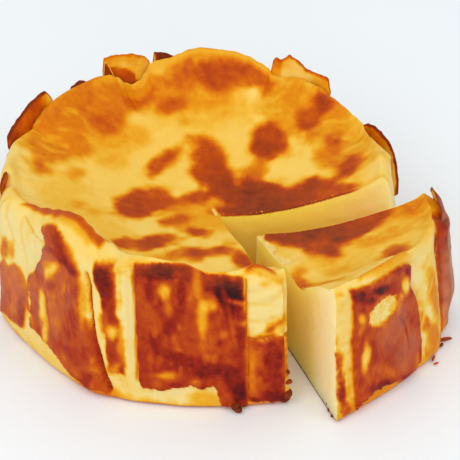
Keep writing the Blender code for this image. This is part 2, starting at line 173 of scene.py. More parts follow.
# Browned spots on the side: angle, height, half length, half width, turn, bake.
SIDE_WASHES = (
    (246, 54.5, 9, 4, 0, 0.22), (231, 54, 7, 5.5, 10, 0.14), (262, 57.5, 16, 2.6, 0, 0.34),
    (271, 55, 9, 2.4, -10, 0.3), (203, 47, 9, 9, 0, 0.05), (217, 44, 5, 9, 0, 0.04),
    (284, 40, 4, 9, 0, 0.09), (270, 3.5, 5, 4, -20, 0.3), (307, 2, 22, 4, 0, 0.4),
    (338, 3, 12, 4, 0, 0.38), (222, 2.5, 14, 2.5, 0, 0.2), (240, 2, 8, 2.6, 0, 0.46),
    (312, 52, 14, 3, -8, 0.3), (330, 46, 9, 4, -8, 0.14), (192, 46, 4, 6, 0, 0.34),
    (334, 22, 4, 13, 14, 0.42), (331, 9, 4.5, 5, 0, 0.44),
)
SIDE_SPOTS = (
    # the strip at the far left
    (209.8, 14, 7.2, 2.2, 84, 0.74), (201.4, 11.5, 8, 2.5, 60, 0.66),
    (207.4, 25.7, 3.7, 1.8, 75, 0.52), (203, 23.6, 4.7, 2, 77, 0.56),
    (201.2, 33.6, 4.9, 2.5, 69, 0.48), (204.6, 35.3, 4.1, 1.8, 77, 0.36),
    (214.6, 28.9, 4.7, 1.6, 84, 0.6),
    # the wide panel
    (223, 53.6, 3.2, 2.8, 30, 0.7), (228.1, 50.8, 5.8, 2, -40, 0.78), (224.9, 49, 2.8, 1.3, -2, 0.88),
    (229, 47.9, 2.8, 1.5, -18, 0.88), (232.7, 45.7, 2.3, 2, -30, 0.84),
    (219.9, 37, 5.1, 2.4, 80, 0.74), (225, 42.6, 3.4, 1.6, 50, 0.14),
    (223.6, 40, 2.6, 1.3, 80, 0.2), (223.1, 43.1, 2.4, 1, 34, 0.4),
    (218.4, 23.3, 5.8, 2.7, 79, 0.68), (220.7, 24.1, 6.4, 1.8, 86, 0.16),
    (221.6, 14.3, 5.6, 1.6, 87, 0.22), (226, 29.7, 2.9, 1.7, 61, 0.52),
    (224.3, 34.7, 3.2, 1.7, 42, 0.72), (233.5, 37.5, 7.9, 1.6, 44, 0.74),
    (237.5, 24.9, 5.1, 1.9, -81, 0.6), (233.2, 13.2, 5.5, 3.5, 7, 0.72),
    (238, 6.6, 4.6, 2.2, 31, 0.78), (234.7, 6.4, 2.3, 1.3, 0, 0.54), (236.4, 38, 9.4, 1.5, 90, 0.27),
    (229.7, 28.1, 5.6, 2.2, -72, 0.6),
    # the narrow stripe
    (241.7, 47.2, 3.3, 2.9, 51, 0.9), (243.3, 41.9, 4.6, 2.5, 89, 0.86),
    (244.4, 36.4, 3.2, 1.7, 84, 0.76), (243, 30.5, 3.2, 1.2, 88, 0.58),
    (245.3, 27.3, 2.9, 1.8, 69, 0.24), (247.5, 26.7, 6.4, 0.8, 90, 0.34),
    (244.2, 20.6, 3.8, 1.7, -79, 0.68), (245.3, 16.9, 2.6, 2, 64, 0.72),
    (246.7, 14.1, 2.3, 1.8, 44, 0.46), (247.8, 12.8, 1.6, 0.8, 87, 0.8),
    (250.1, 49.5, 1.9, 0.7, 88, 0.46), (247, 40.3, 7.8, 0.5, 90, 0.32),
    (245, 11.6, 1.9, 1.2, 23, 0.44),
    # the square panel in front
    (257.7, 53.2, 7.5, 2.6, 6, 0.84), (258.8, 54, 4.2, 1.4, 6, 0.93),
    (255.5, 47.2, 4.6, 1.6, 89, 0.84), (253.3, 41.8, 7.8, 1.2, 89, 0.62),
    (265.8, 53.9, 2.6, 2.5, -46, 0.79), (268.4, 55.9, 1.9, 1.8, 23, 0.58),
    (259.8, 46.3, 3.1, 1.9, 86, 0.31), (260.6, 41.3, 3.1, 1.3, 88, 0.5),
    (264.1, 44.4, 6.6, 1.9, 89, 0.8), (268.4, 48, 5, 1.3, -87, 0.42), (269.9, 41.5, 3.1, 1.9, 87, 0.28),
    (272.3, 41.6, 1.9, 1.4, 86, 0.32), (269.6, 34.5, 5.5, 1.5, 89, 0.33),
    (269.6, 27.4, 2.8, 1.1, 89, 0.52), (274.7, 48.7, 3.2, 3.1, 26, 0.97),
    (276.7, 43.7, 6.6, 1.9, 89, 0.96), (278.8, 43.7, 8.6, 1.1, 90, 0.9), (276.4, 46, 4.6, 3.8, 90, 1),
    (271.6, 49.7, 2.7, 1.4, 88, 0.82), (255.5, 35.2, 4.7, 2.3, 87, 0.62),
    (260.8, 33.2, 3.2, 2.6, 79, 0.8), (266.1, 29.7, 4.7, 2.9, 88, 0.66),
    (274.8, 30.4, 1.6, 1.1, 89, 0.48), (277.4, 32.8, 7.1, 0.5, -79, 0.54),
    (279.2, 25.9, 6.5, 1, 90, 0.8), (263.4, 21.2, 7.9, 2.4, -15, 0.82), (270, 16.3, 4.9, 2.8, 2, 0.85),
    (277.1, 13.4, 5.8, 3, -90, 0.85), (279.4, 6.2, 5, 2, -90, 0.9), (255.7, 20.2, 2, 1, 87, 0.54),
    (254.8, 15.2, 2.5, 2, 74, 0.74), (259.1, 13.9, 4, 1.5, 6, 0.38), (267.6, 11.4, 1.6, 1.5, 81, 0.38),
    (262.8, 9.8, 6.7, 1.3, 7, 0.78), (257.5, 9.6, 1.7, 1.1, 11, 0.52),
    (274.4, 6.5, 3.7, 1.7, 90, 0.66), (276.3, 20.8, 2.2, 0.7, -49, 0.6),
    # the pale creased part beside the cut
    (283, 53.4, 4, 0.4, -9, 0.72), (289, 51.1, 3.4, 0.4, -17, 0.54),
    (289.5, 49.7, 2.1, 1.3, -31, 0.36), (286.4, 49.1, 2, 1.3, 4, 0.22),
    (282.8, 42.1, 3.8, 0.5, -13, 0.19), (286.8, 44.6, 2.8, 0.5, 13, 0.17),
    (284.8, 34.8, 4.8, 0.6, -6, 0.18), (287.9, 32.4, 3.3, 1.2, 35, 0.6),
    (290.8, 33.4, 3, 0.9, -36, 0.46), (285.8, 28.6, 2.9, 0.7, 6, 0.6),
    (290.2, 30.2, 3.1, 1.1, -52, 0.2),
    # the brown foot under it
    (282.2, 16.3, 10.8, 1.5, 90, 0.47), (287.6, 19.8, 6.3, 3, -87, 0.82),
    (288.4, 11.2, 4.1, 3, -65, 0.8), (288.2, 3.6, 4.5, 3.2, -31, 0.88),
    (283.2, 2.4, 2.7, 2.1, -18, 0.86), (291.4, 15.2, 5.5, 0.8, 89, 0.5),
    (286.9, 24.8, 2.1, 1.9, -58, 0.76),
    # the slice's first strip
    (293, 23.8, 3.6, 1.4, -86, 0.58), (293.8, 11.5, 6, 1.8, -88, 0.8),
    (296.1, 11.7, 4.8, 0.8, 90, 0.34), (293.7, 31.9, 3.1, 1.2, -87, 0.2),
    (295, 3.5, 2.6, 1.6, -73, 0.56),
    # the slice's dark panel
    (299.7, 45.9, 4.1, 2.3, -39, 0.9), (306.7, 44.4, 5.1, 1.7, -16, 0.97),
    (303.6, 42.2, 2.5, 1.6, -19, 0.9), (315.4, 47.1, 5.3, 1.4, -23, 0.8),
    (318.8, 44.1, 2.8, 1.3, -38, 0.86), (314.3, 34.5, 3.9, 1.2, -89, 0.44),
    (317.6, 39.1, 4, 2.2, -64, 0.2), (315.6, 36.8, 1.9, 1.2, -60, 0.32),
    (320.5, 29.9, 3.9, 2.3, -72, 0.6), (321.5, 20.4, 5.7, 2.3, -88, 0.68),
    (297.8, 38.1, 5.4, 1, 90, 0.7), (300.3, 36.8, 2.9, 1.8, -70, 0.29),
    (301.2, 21.6, 5.6, 1.9, 86, 0.2), (297.6, 25.8, 7.8, 1, 89, 0.66),
    (307.8, 5.8, 6.8, 1.9, -24, 0.86), (317.1, 2.5, 4.9, 2.1, -24, 0.77),
    (311.2, 16.5, 7.5, 4, -43, 0.72), (304.5, 28.1, 4.2, 1.7, -32, 0.62),
    (307.2, 13.5, 1.7, 0.8, 21, 0.56), (300.5, 6.1, 4.3, 1.2, -22, 0.62),
    # the folds beyond it and the flap at the end
    (329.7, 39.8, 3.2, 2.8, 4, 0.2), (325.2, 27.8, 5.9, 1.5, -72, 0.24),
    (327.1, 17.5, 4.6, 2.2, -69, 0.46),
    (328.7, 3.7, 3.9, 2, -46, 0.4),
    (323.1, 44.5, 4.3, 1.3, -43, 0.16), (341, 4, 4, 3, 0, 0.46), (345, 23, 9, 16, 0, 0.84),
    (342.2, 24, 1.4, 17, 0, 0.7), (341.6, 8, 1.4, 4, 0, 0.46), (349, 34, 6, 6, 0, 0.9),
    (350.5, 49, 8.5, 4.6, 0, 0.3),
)

# Creases in the side: depth, half width, the bake that darkens the groove as painted shade, then
# angle, height along the crease.
SIDE_CREASES = (
    (1.7, 0.6, 0.8, (237, 45.8), (237.8, 43.5), (238.3, 36), (239.2, 29.9), (240.4, 20.6),
     (242.5, 10.8), (244.5, 3.7)),
    (0.9, 0.6, 0.28, (207.6, 50.4), (210.7, 49.8), (213.4, 49), (216.1, 48.5), (218.6, 48.6),
    (221.4, 48.7)),
    (0.7, 0.7, 0.28, (200.1, 55.5), (197.6, 49.5), (197.3, 45.8)),
    (0.8, 0.9, 0.2, (200, 52), (201, 46), (205, 40)),
    (0.7, 0.8, 0.2, (207.5, 49), (209, 42), (211.5, 35)),
    (0.5, 0.7, 0.12, (215.5, 46), (216, 40), (215, 35)),
    (0.5, 0.9, 0.19, (281.4, 41.6), (285.6, 41.5), (288, 43.2), (291.4, 47)),
    (0.4, 0.9, 0.16, (281.2, 46.5), (284.5, 46.8), (288, 49)),
    (0.4, 0.8, 0.17, (281.2, 35.2), (286, 34.6), (292.5, 36.8)),
    (0.8, 0.6, 0.56, (281, 28.3), (284, 27.4), (286.8, 28.1), (292.4, 26.6)),
    (0.6, 0.4, 0.5, (280.9, 51), (281, 28), (281.3, 3)),
    (0.8, 0.45, 0.5, (251, 54), (251.4, 30), (252, 10)), (0.6, 0.4, 0.5, (238.9, 50.6), (244.8, 52.4)),
    (0.5, 0.7, 0.1, (249.4, 52), (249.8, 36), (250.6, 14)),
    (0.4, 0.4, 0.6, (226.2, 40), (227.6, 30), (229.2, 14)),
    (0.3, 0.4, 0.74, (231, 42), (230.4, 30), (232, 20)),
    (0.3, 0.4, 0.72, (222.4, 32), (223.4, 22), (225, 12)),
    (0.9, 0.9, 0.2, (321.6, 47), (321.2, 38), (324.2, 29), (324.9, 12), (324, 2)),
    (0.7, 1, 0.14, (322.5, 38.5), (327, 43), (333, 48.5)),
    (0.8, 1, 0.17, (325, 28), (330, 36), (335, 43)),
    (0.7, 0.9, 0.2, (325.4, 15), (329, 24), (334, 31), (338, 36)),
    (1, 0.5, 0.4, (339, 2), (339.8, 12), (340.4, 30), (340.6, 42)),
    (0.5, 0.5, 0.6, (352, 44), (351, 28), (352, 10)),
    (0.4, 0.4, 0.86, (314.5, 29), (317, 24), (318, 14)),
    (0.35, 0.4, 0.6, (307, 29), (306, 22), (307.5, 14)),
)

# Places where the skin has torn away from the pale inside: angle, height, half length, half
# width, turn, depth.
SIDE_TEARS = (
    (308.3, 35.4, 6.9, 4.4, 8, 0.8), (214.4, 18, 9, 0.8, 88, 0.4), (254.2, 6.6, 2.8, 0.9, 4, 0.4),
    (277.5, 56, 3, 0.7, 0, 0.4),
)

# Painted sheen: where a glossy dark panel would reflect the bright surroundings, a greyish-pink
# colour is painted on it instead: angle, height, half length, half width, turn, strength.
SHEEN_PATCHES = (
    (221, 45, 7, 9, 0, 0.24), (222, 25, 9, 13, 0, 0.16), (229, 36, 6, 9, 0, 0.14),
    (203, 22, 18, 12, 40, 0.22), (312, 27, 8, 9, 0, 0.18), (317, 14, 7, 8, 0, 0.2),
    (350, 20, 11, 22, 0, 0.6),
)

# Panels of crust that lay against the lining. Each edge is a line of (height, angle) or
# (angle, height); then how far the panel stands out, the softness of its edges and its bake.
SHOWN_PANELS = (
    {  # the strip at the far left
        "left": ((0, 186), (60, 188)),
        "right": ((4.8, 208.1), (8.8, 211.4), (20, 212.1), (26.8, 212.7), (31, 208.8)),
        "top": ((188.1, 15.9), (196, 22), (200, 27.5), (203.3, 27.8), (206, 31), (208.8, 31),
        (212.7, 26.8)),
        "foot": ((188, 1), (200, 4), (204.7, 5.5), (212.3, 7)),
        "proud": 0.6, "soft": 1.2, "bake": 0.6,
    },
    {  # the wide panel left of the groove
        "left": (
            (9, 214.8), (14.7, 213.5), (24.6, 212.9), (31.5, 213.9), (36.3, 217.4), (40.5, 219),
            (44.2, 220.4), (47.3, 220.9), (49.3, 222.2), (51, 222), (52.4, 219.5), (54, 218.2)),
        "right": (
            (3.7, 244.4), (10.8, 242.4), (20.6, 240.3), (29.5, 238.3), (31, 235.7), (37.2, 234.9),
            (42.9, 234.7), (46.2, 235.1), (48.5, 233.9), (50.8, 232), (53.3, 230), (55, 227.2),
            (56.2, 223.6)),
        "top": ((216, 53.4), (218.9, 54.2), (221.4, 55.8), (223.6, 56.4), (226, 58), (240, 60)),
        "foot": ((212, 11), (218, 10.5), (224, 8.6), (229, 6.4), (233, 3), (241, 2.4), (246, 2)),
        "proud": 1.3, "soft": 0.3, "bake": 0.62, "ragged": 0.5,
    },
    {  # the narrow stripe
        "left": ((11, 244.6), (16, 243.6), (31, 243.2), (38.6, 241.8), (49.3, 238.9), (55, 238.3)),
        "right": ((10, 248.6), (18.4, 248.2), (32, 247.4), (34.2, 246.2), (45, 246), (51.7, 245.2)),
        "top": ((238, 50.4), (245.4, 52.2)),
        "foot": ((244, 11.8), (249, 11)),
        "proud": 0.5, "soft": 0.7, "bake": 0.68, "ragged": 0.35,
    },
    {  # the square panel in front
        "left": ((4, 253.4), (12.6, 252.4), (54.3, 251)),
        "right": ((0, 281.3), (2.7, 281.1), (31.9, 281), (51.9, 280)),
        "top": (
            (251, 54.2), (255.6, 56), (261, 56.6), (267.7, 56.2), (269, 54.4), (270.3, 53),
            (274.2, 52.6), (280, 52)),
        "foot": (
            (252, 9.6), (253.7, 7.2), (255.5, 6.7), (260.8, 8.3), (266.1, 10), (269.4, 8.1),
            (272, 9.8), (273.1, 7.7), (274.3, 1.5), (278, 0)),
        "proud": 1.2, "soft": 0.28, "bake": 0.7,
    },
    {  # the brown foot beside the cut
        "left": ((0, 281.4), (29, 281)),
        "right": ((0, 300), (29, 300)),
        "top": ((281, 28.4), (284.6, 26.6), (289.1, 28), (296, 28)),
        "foot": ((281, 2.4), (285, 1.6), (292, 1.4)),
        "proud": 0.5, "soft": 0.5, "bake": 0.62, "last": 291,
    },
    {  # the slice's dark panel
        "left": ((0, 298), (18.2, 297.2), (30.1, 297), (39.5, 297.5), (45.3, 297.3), (50, 296.3)),
        "right": (
            (0, 324), (7.8, 324.5), (14.4, 324), (23, 323.5), (29.1, 323.3), (33.2, 322.1),
            (37.9, 320.4), (42.1, 321.2), (46, 320)),
        "top": (
            (296.3, 50), (300.4, 49.8), (305.8, 48.7), (311.8, 48.6), (316.2, 48.2), (320.1, 46.1),
            (321.2, 42.5)),
        "foot": ((297, 2.6), (305, 4.6), (312, 4.4), (318, 3), (324, 4)),
        "proud": 1.4, "soft": 0.28, "bake": 0.66,
    },
    {  # the flap at the slice's end
        "left": ((0, 339.5), (10, 340.3), (25, 341), (42, 341.2), (56, 342)),
        "right": ((0, 375), (60, 375)),
        "top": ((336, 60), (375, 60)),
        "foot": ((336, 2), (345, 1.2), (375, 1.2)),
        "proud": 0.6, "soft": 0.4, "bake": 0.8, "last": 354.9,
        "swell": ((340.4, 0), (342, 1.4), (344, 4), (347, 5), (350, 5), (353, 3.6), (355, 2.2)),
    },
)
# Those on the far side: first and last angle, top and foot height, how far they stand out, bake.
FAR_PANELS = (
    (15, 27, 40, 5, 1.0, 0.76), (35, 55, 49, 7, 0.8, 0.70), (62, 93, 50, 3, 1.0, 0.78),
    (101, 120, 52, 6, 0.9, 0.72), (129, 154, 47, 4, 1.1, 0.78), (163, 185, 44, 6, 0.9, 0.72),
)
FAR_SPOT_COUNT = 110
FAR_START, FAR_END = 14, 186

# Where the rim's skin overhangs the panel below it: first and last angle, how far.
BROWS = ((238.5, 249.5, 1.3), (251.5, 281, 1.1), (297, 321, 0.7), (5, 95, 0.6), (100, 186, 0.6))

# Thin tongues of crust that stand on the shoulder outside the rim. Each runs through stations of
# angle, foot height, tip height, how far the tip leans out, and the bake of its inner face; then
# how far the tip curls in, and the bake of its tip. A few also say how far out the foot is moved,
# the bakes of the foot and of the outer face, a painted sheen on the outer face, or the top line of
# a browner pocket in the inner face. What changes along a tongue is a list of angle and value.
FINS = (
    {"curl": 0.6, "tip_bake": 0.93,
     "stations": (
         (141.2, 44, 49, 3.2, 0.3), (141.8, 44, 51.6, 3.4, 0.32), (143.1, 44, 54.4, 3.8, 0.34),
         (145.3, 43, 55.2, 4, 0.46), (147.2, 43, 54.5, 4, 0.6), (150.9, 42, 53.5, 4, 0.62),
         (153.7, 42, 52.4, 3.8, 0.58), (156.8, 41, 51.2, 3.6, 0.62), (160.4, 41, 48.7, 3.4, 0.74),
         (162.8, 41, 47.2, 3, 0.66), (163.4, 41, 44.1, 2.6, 0.6))},
    {"curl": 0.4, "tip_bake": 0.9, "offset": ((183, -2.8), (187, -2), (192, -0.6)),
     "stations": (
         (183.4, 42, 48, 0.6, 0.5), (184.2, 42, 50.6, 0.8, 0.6), (186, 42, 51.8, 1, 0.66),
         (188.4, 42, 51.6, 1, 0.64), (190.4, 41, 50, 0.8, 0.5), (191.6, 41, 47, 0.6, 0.4))},
    {"curl": 0.3, "tip_bake": 0.92,
     "stations": (
         (126.4, 46, 48, 2.6, 0.8), (126.8, 46, 49.5, 2.8, 0.8), (128.2, 46, 50.9, 3, 0.82),
         (129.8, 46, 51.6, 3, 0.82), (131.2, 46, 51, 3, 0.8), (133.2, 46, 50, 2.8, 0.7),
         (134, 46, 48, 2.6, 0.6))},
    {"curl": 0.7, "tip_bake": 0.5,
     "pocket": (
         (106, 30), (111, 40), (111.3, 46), (112, 50.1), (113.7, 51.9), (116.3, 53.1), (118.7, 53.9),
         (121.6, 53.9)),
     "stations": (
         (106.4, 44, 52, 2.2, 0.22), (106.7, 44, 54, 2.4, 0.22), (108, 43, 55.7, 2.5, 0.22),
         (110.9, 43, 57.2, 2.6, 0.23), (113.8, 42, 57.6, 2.6, 0.25), (115.8, 42, 58, 2.6, 0.25),
         (118.2, 42, 58.1, 2.6, 0.25), (120.7, 43, 57.9, 2.5, 0.34), (121.4, 43, 57.4, 2.4, 0.5),
         (121.8, 43, 52.4, 2.2, 0.8))},
    {"curl": -0.2, "tip_bake": 0.1,
     "stations": (
         (118.3, 44, 49.4, 0.4, 0.85), (118.7, 44, 50.8, 0.5, 0.85), (119.5, 44, 53.4, 0.7, 0.86),
         (120.3, 44, 56, 0.9, 0.88), (121, 44, 56.4, 1, 0.9), (121.5, 44, 56.2, 1, 0.9),
         (121.7, 44, 51.2, 0.8, 0.86))},
    {"curl": 0.3, "tip_bake": 0.93,
     "stations": (
         (98.2, 46, 53, 3, 0.8), (98.7, 46, 53.9, 3.1, 0.84), (100.5, 46, 55, 3.1, 0.88),
         (103.1, 46, 56.2, 3.1, 0.88), (104.3, 46, 56.5, 3.1, 0.86), (104.7, 46, 56.6, 3.1, 0.2),
         (105.1, 46, 56.5, 3, 0.16), (105.4, 46, 55.4, 3, 0.16), (105.5, 46, 52, 2.9, 0.2))},
    {"curl": 0.5, "tip_bake": 0.62,
     "stations": (
         (47.2, 42, 47.5, 2.6, 0.3), (47.9, 42, 50.2, 2.7, 0.34), (48.4, 42, 52.6, 2.8, 0.34),
         (50.7, 42, 53.1, 2.8, 0.3), (53, 42, 53, 2.8, 0.28), (55.5, 42, 53.9, 2.8, 0.18),
         (58.1, 42, 56.2, 2.8, 0.14), (59.9, 42, 57.1, 2.8, 0.12), (61.6, 42, 58.4, 2.8, 0.12),
         (63.6, 42, 56.5, 2.8, 0.22), (64.6, 42, 55.3, 2.8, 0.42), (65.6, 42, 55.5, 2.8, 0.44),
         (66.9, 42, 55.8, 2.8, 0.44), (67.6, 42, 50, 2.6, 0.4))},
    {"curl": 0.3, "tip_bake": 0.93,
     "offset": ((11.8, 0.4), (16, 1.4), (22, 2), (28, 1.3), (33, 0.2)), "foot_bake": 0.1,
     "stations": (
         (11.8, 24, 26, 5, 0.1), (12.3, 24, 27.5, 5, 0.1), (12.8, 24, 31.5, 5, 0.1),
         (14, 25, 34, 5, 0.12), (15.4, 28, 38.1, 5, 0.14), (17.9, 30, 40.5, 4.8, 0.18),
         (20.8, 31, 42.1, 4.5, 0.3), (24, 33, 43.2, 4, 0.46), (27, 34, 44.6, 3.5, 0.54),
         (29.6, 35, 44.3, 2.6, 0.46), (32.4, 35, 41.3, 2.2, 0.34), (32.9, 35, 38.5, 2, 0.26))},
)
# The slice's flap has a painted sheen on its outer face.
SLICE_FINS = (
    {"curl": ((341, 0), (344, 1.4), (346, 2.5), (348, 4.4), (351, 5.2), (353, 3.9), (355, 2.4)),
     "offset": ((341, 1.2), (344, 4.2), (346, 5), (348, 5.6), (351, 5.4), (353, 4), (355, 2.4)),
     "tip_bake": 0.94, "outer_bake": 0.88, "sheen_strength": 0.12,
     "stations": (
         (340.9, 33, 40, 0.7, 0.5), (341.5, 33, 42.4, 0.6, 0.46), (344, 33, 45, 0, 0.34),
         (346, 33, 47, 0, 0.28), (348, 33, 49.8, 0, 0.24), (351, 33, 51.4, -0.2, 0.24),
         (354, 33, 50.6, -0.6, 0.28), (355, 33, 48.5, -0.8, 0.36))},
)

# Loose crumbs: x, y, height of the middle, half size, bake, stretch and turn.
CRUMBS = (
    (41.6, -74.1, 0.8, 1, 0.9, 1.5, 70), (42.3, -77.4, 0.6, 0.7, 0.86, 1.2, 20),
    (40.9, -72, 1.6, 0.8, 0.92, 1.6, 80), (84.2, -39, 1.4, 1, 0.8, 2.8, 15),
    (82.6, -41.4, 0.7, 0.7, 0.84, 1.6, 60), (78.9, -48.6, 0.9, 0.7, 0.72, 2.4, 70),
    (79.6, -51, 0.5, 0.5, 0.66, 2, 30), (10.2, -72.4, 1.6, 1.9, 0.93, 1.3, 75),
    (10.9, -74.6, 1.1, 1.2, 0.95, 1.2, 10), (7.6, -71.4, 1.2, 1.3, 0.9, 1.3, -20),
    (12.8, -72.4, 1.4, 1.2, 0.88, 1.4, 30), (16.4, -70.9, 1.3, 0.9, 0.3, 1.1, 0),
    (22.6, -69.8, 1.2, 1.4, 0.9, 1.5, 0), (24.6, -68.6, 2, 1.3, 0.92, 1.3, 60),
    (27.6, -69.6, 3.6, 1.7, 0.9, 1.4, 70), (27.8, -69.2, 8.4, 1.1, 0.86, 1.2, 20),
    (27.6, -69.1, 12.6, 0.7, 0.88, 1.5, 100), (26.6, -70.0, 1.4, 1.2, 0.9, 1.4, 20),
)
FINE_CRUMBS = 60  # pale ones along the edges of the cuts

# The skin's bake right at a cut's top edge: which end of the rows, bake, first and last reach.
CUT_EDGES = {"body": (0, 0.86, 9, 52), "slice": (-1, 0.16, 0, 90)}

# Bakes that are not in a list.
TOP_BAKE, SIDE_BAKE, BASE_BAKE = 0.125, 0.12, 0.60
BACK_RIM_BAKE = 0.26
FOOT_BAKE = 0.32
PANEL_EDGE_BAKE = 0.34
FLECK_BAKE = 0.40  # golden flecks in the panels
TORN_TOP_BAKE, TORN_SIDE_BAKE = 0.08, 0.17
BASE_LINE_BAKE = 0.86  # the thin line along the foot of a cut
# How far the rim and a torn place of the top have the side's colours.
RIM_SIDE, TORN_SIDE = 0.25, 0.6
# How far from the apex the inside keeps its full painted glow, and where it has lost it: a yellower,
# brighter colour that stands in for light bounced about in the narrow cut.
BOUNCE_GLOW_REACH = (26, 68)

# How finely each piece is divided: columns, then steps in millimetres, then rows.
BODY_COLUMNS = 576
SLICE_COLUMNS = 176
RING_STEP = 0.85
CRUMB_STEP = 0.95
FIN_STEP = 0.7
SHOULDER_ROWS = 16
SIDE_ROWS = 58
FIN_ROWS = 16

EDGE_SHARES = (2.0, 2.25, 2.5, 2.75, 3.0)  # rows round the base's edge
BASE_SHARES = (0.97, 0.88, 0.75, 0.6, 0.46, 0.33, 0.22, 0.12)  # rows under the base
CRUMB_SHIFT = 0.3  # how far a cut face's points lie off their grid
CRUMB_MARGIN = 0.55  # how far they keep from its edge

# Where the random draws and the noise of each kind of piece start.
FAR_PANEL_SEED, FAR_SPOT_SEED, FAR_CREASE_SEED = 100, 7, 17
FIRST_CUT_SEED, LAST_CUT_SEED, FIN_SEED, LUMP_SEED, FINE_CRUMB_SEED = 300, 400, 500, 700, 31

FIN_THICKNESS = 1.3
FIN_SINK = 0.5  # how far a tongue's foot lies inside the shoulder
FAR_OFF = 1e3  # more than any distance in the cake
ARC = math.radians(72.0)  # millimetres of side for each degree
SHARP_ANGLE = math.radians(62)

# What each point carries after its x, y and z: its bake; how far it has the side's colours and not
# the top's; its painted sheen; on a cut face the depth under the skin, that skin's bake and the
# painted glow that stands in for bounced light.
LOOKS = ("bake", "side", "veil", "depth", "skin_bake", "bounce_glow")
BAKE, DEPTH, SKIN_BAKE, BOUNCE_GLOW = (
    3 + LOOKS.index(look) for look in ("bake", "depth", "skin_bake", "bounce_glow"))


# ---- numbers that repeat from run to run ---------------------------------------------------

def soft(low, high, value):
    """Runs from 0 at low to 1 at high without a corner at either end."""
    share = np.clip((value - low) / (high - low), 0, 1)
    return share * share * (3 - 2 * share)


def lay(value, target, cover):
    """Moves a value towards a target as far as it covers."""
    return value + (target - value) * cover


def cell_value(cell, seed):
    """A repeatable number from -1 to 1 for each whole-number cell."""
    x, y, z = (cell[..., axis].astype(np.int64) for axis in range(3))
    mixed = (x * 73856093) ^ (y * 19349663) ^ (z * 83492791) ^ (seed * 40503 + 977)
    mixed = ((mixed ^ (mixed >> 13)) * 1274126177) & 0xFFFFFFFF
    mixed = ((mixed ^ (mixed >> 15)) * 668265263) & 0xFFFFFFFF
    return ((mixed ^ (mixed >> 16)) & 0xFFFF) / 32767.5 - 1.0


# Turns the noise's cells, so that no surface lies along them.
CELL_TURN = np.array(
    Matrix.Rotation(0.9, 3, "X") @ Matrix.Rotation(0.7, 3, "Z") @ Matrix.Rotation(0.5, 3, "Y"))


def noise(points, size, seed):
    """Smooth noise from -1 to 1 whose lumps are about the given size."""
    scaled = points @ CELL_TURN.T / size
    cell = np.floor(scaled)
    ease = soft(0, 1, scaled - cell)
    total = np.zeros(points.shape[:-1])
    for corner in itertools.product((0, 1), repeat=3):
        weight = np.prod(np.where(corner, ease, 1 - ease), axis=-1)
        total += weight * cell_value(cell + np.array(corner), seed)
    return total


def rough(points, size, seed):
    """Noise with finer and finer noise added to it."""
    return sum(noise(points + 31.7 * octave, size / 2.1**octave, seed + octave) / 1.9**octave
               for octave in range(3))


# ---- the plain shape -----------------------------------------------------------------------

def directions(phi):
    """Steps of length 1 at the given angles."""
    return np.stack([np.cos(np.radians(phi)), np.sin(np.radians(phi))], -1)


def polar(place):
    """Radius and angle of each place, seen from above."""
    x, y = place[..., 0], place[..., 1]
    return np.hypot(x, y), np.degrees(np.arctan2(y, x)) % 360


def angle_between(theta, other):
    return (theta - other + 180) % 360 - 180


def span_share(angles, theta):
    """Which listed angle lies before each angle, and the share of the way to the next one."""
    angles = np.array(angles, float)
    angles = np.concatenate([angles - 360, angles, angles + 360])
    turn = np.mod(theta, 360.0)
    before = np.clip(np.searchsorted(angles, turn, side="right") - 1, 0, len(angles) - 2)
    return before, (turn - angles[before]) / (angles[before + 1] - angles[before])


def around(table, theta, column=1):
    """A listed value at each angle, eased from one listed angle to the next."""
    before, share = span_share([row[0] for row in table], theta)
    values = np.tile([float(row[column]) for row in table], 3)
    return lay(values[before], values[before + 1], soft(0, 1, share))


def flat_dip(theta):
    """How far the outline lies inside its circle, from the flats between the corners."""
    _, share = span_share(FOLD_CORNERS, theta)
    return FLAT_DEPTH * (1 - (2 * share - 1) ** 2)


def top_height(radius, theta):
    """Height of the sunken top."""
    crest_height, crest_radius = around(RIM, theta, 1), around(RIM, theta, 2)
    bowl = CENTRE_HEIGHT + BOWL_CURVE * radius**2
    gap = crest_height - LIP_HEIGHT - CENTRE_HEIGHT - BOWL_CURVE * crest_radius**2
    wall = gap * soft(crest_radius - WALL_WIDTH, crest_radius, radius)
    lip = LIP_HEIGHT * soft(crest_radius - LIP_WIDTH, crest_radius, radius)
    front = 1 - soft(*TROUGH_SPAN, np.abs(angle_between(theta, TROUGH_ANGLE)))
    trough = TROUGH_DEPTH * front * (1 - soft(0, TROUGH_HALF_WIDTH, np.abs(radius - TROUGH_RADIUS)))
    return bowl + wall + lip - trough


def side_place(theta, share):
    """Radius and height down the side: share 0 is the crest, 1 the shoulder's foot, 2 the base
    edge's start and 3 its end, on the base."""
    crest_height, crest_radius = around(RIM, theta, 1), around(RIM, theta, 2)
    drop = SHOULDER_DROP + DROP_GAIN * (USUAL_CREST - crest_radius)
    lean = around(LEAN, theta)
    shoulder = BASE_RADIUS - flat_dip(theta) - lean
    shoulder_height = crest_height - drop
    over = np.radians(90 * np.clip(share, 0, 1))
    under = np.radians(90 * np.clip(share - 2, 0, 1))
    side_height = lay(shoulder_height, EDGE_ROUND, np.clip(share - 1, 0, 1))
    radius = np.where(share < 1, lay(crest_radius, shoulder, np.sin(over)),
                      shoulder + lean * (1 - side_height / shoulder_height))
    height = np.where(share < 1, shoulder_height + drop * np.cos(over), side_height)
    return radius - EDGE_ROUND * (1 - np.cos(under)), height - EDGE_ROUND * np.sin(under)


def ray_reach(phi, share):
    """How far a ray from the apex runs to the side, and the angle and height it meets it at."""
    along = directions(phi)
    closing = along @ APEX
    radius = np.full(phi.shape, 68.0)
    for _ in range(12):
        reach = -closing + np.sqrt(closing**2 - APEX @ APEX + radius**2)
        _, theta = polar(APEX + reach[..., None] * along)
        radius, height = side_place(theta, share)
    return reach, theta, height


# ---- where the crust is browned ------------------------------------------------------------

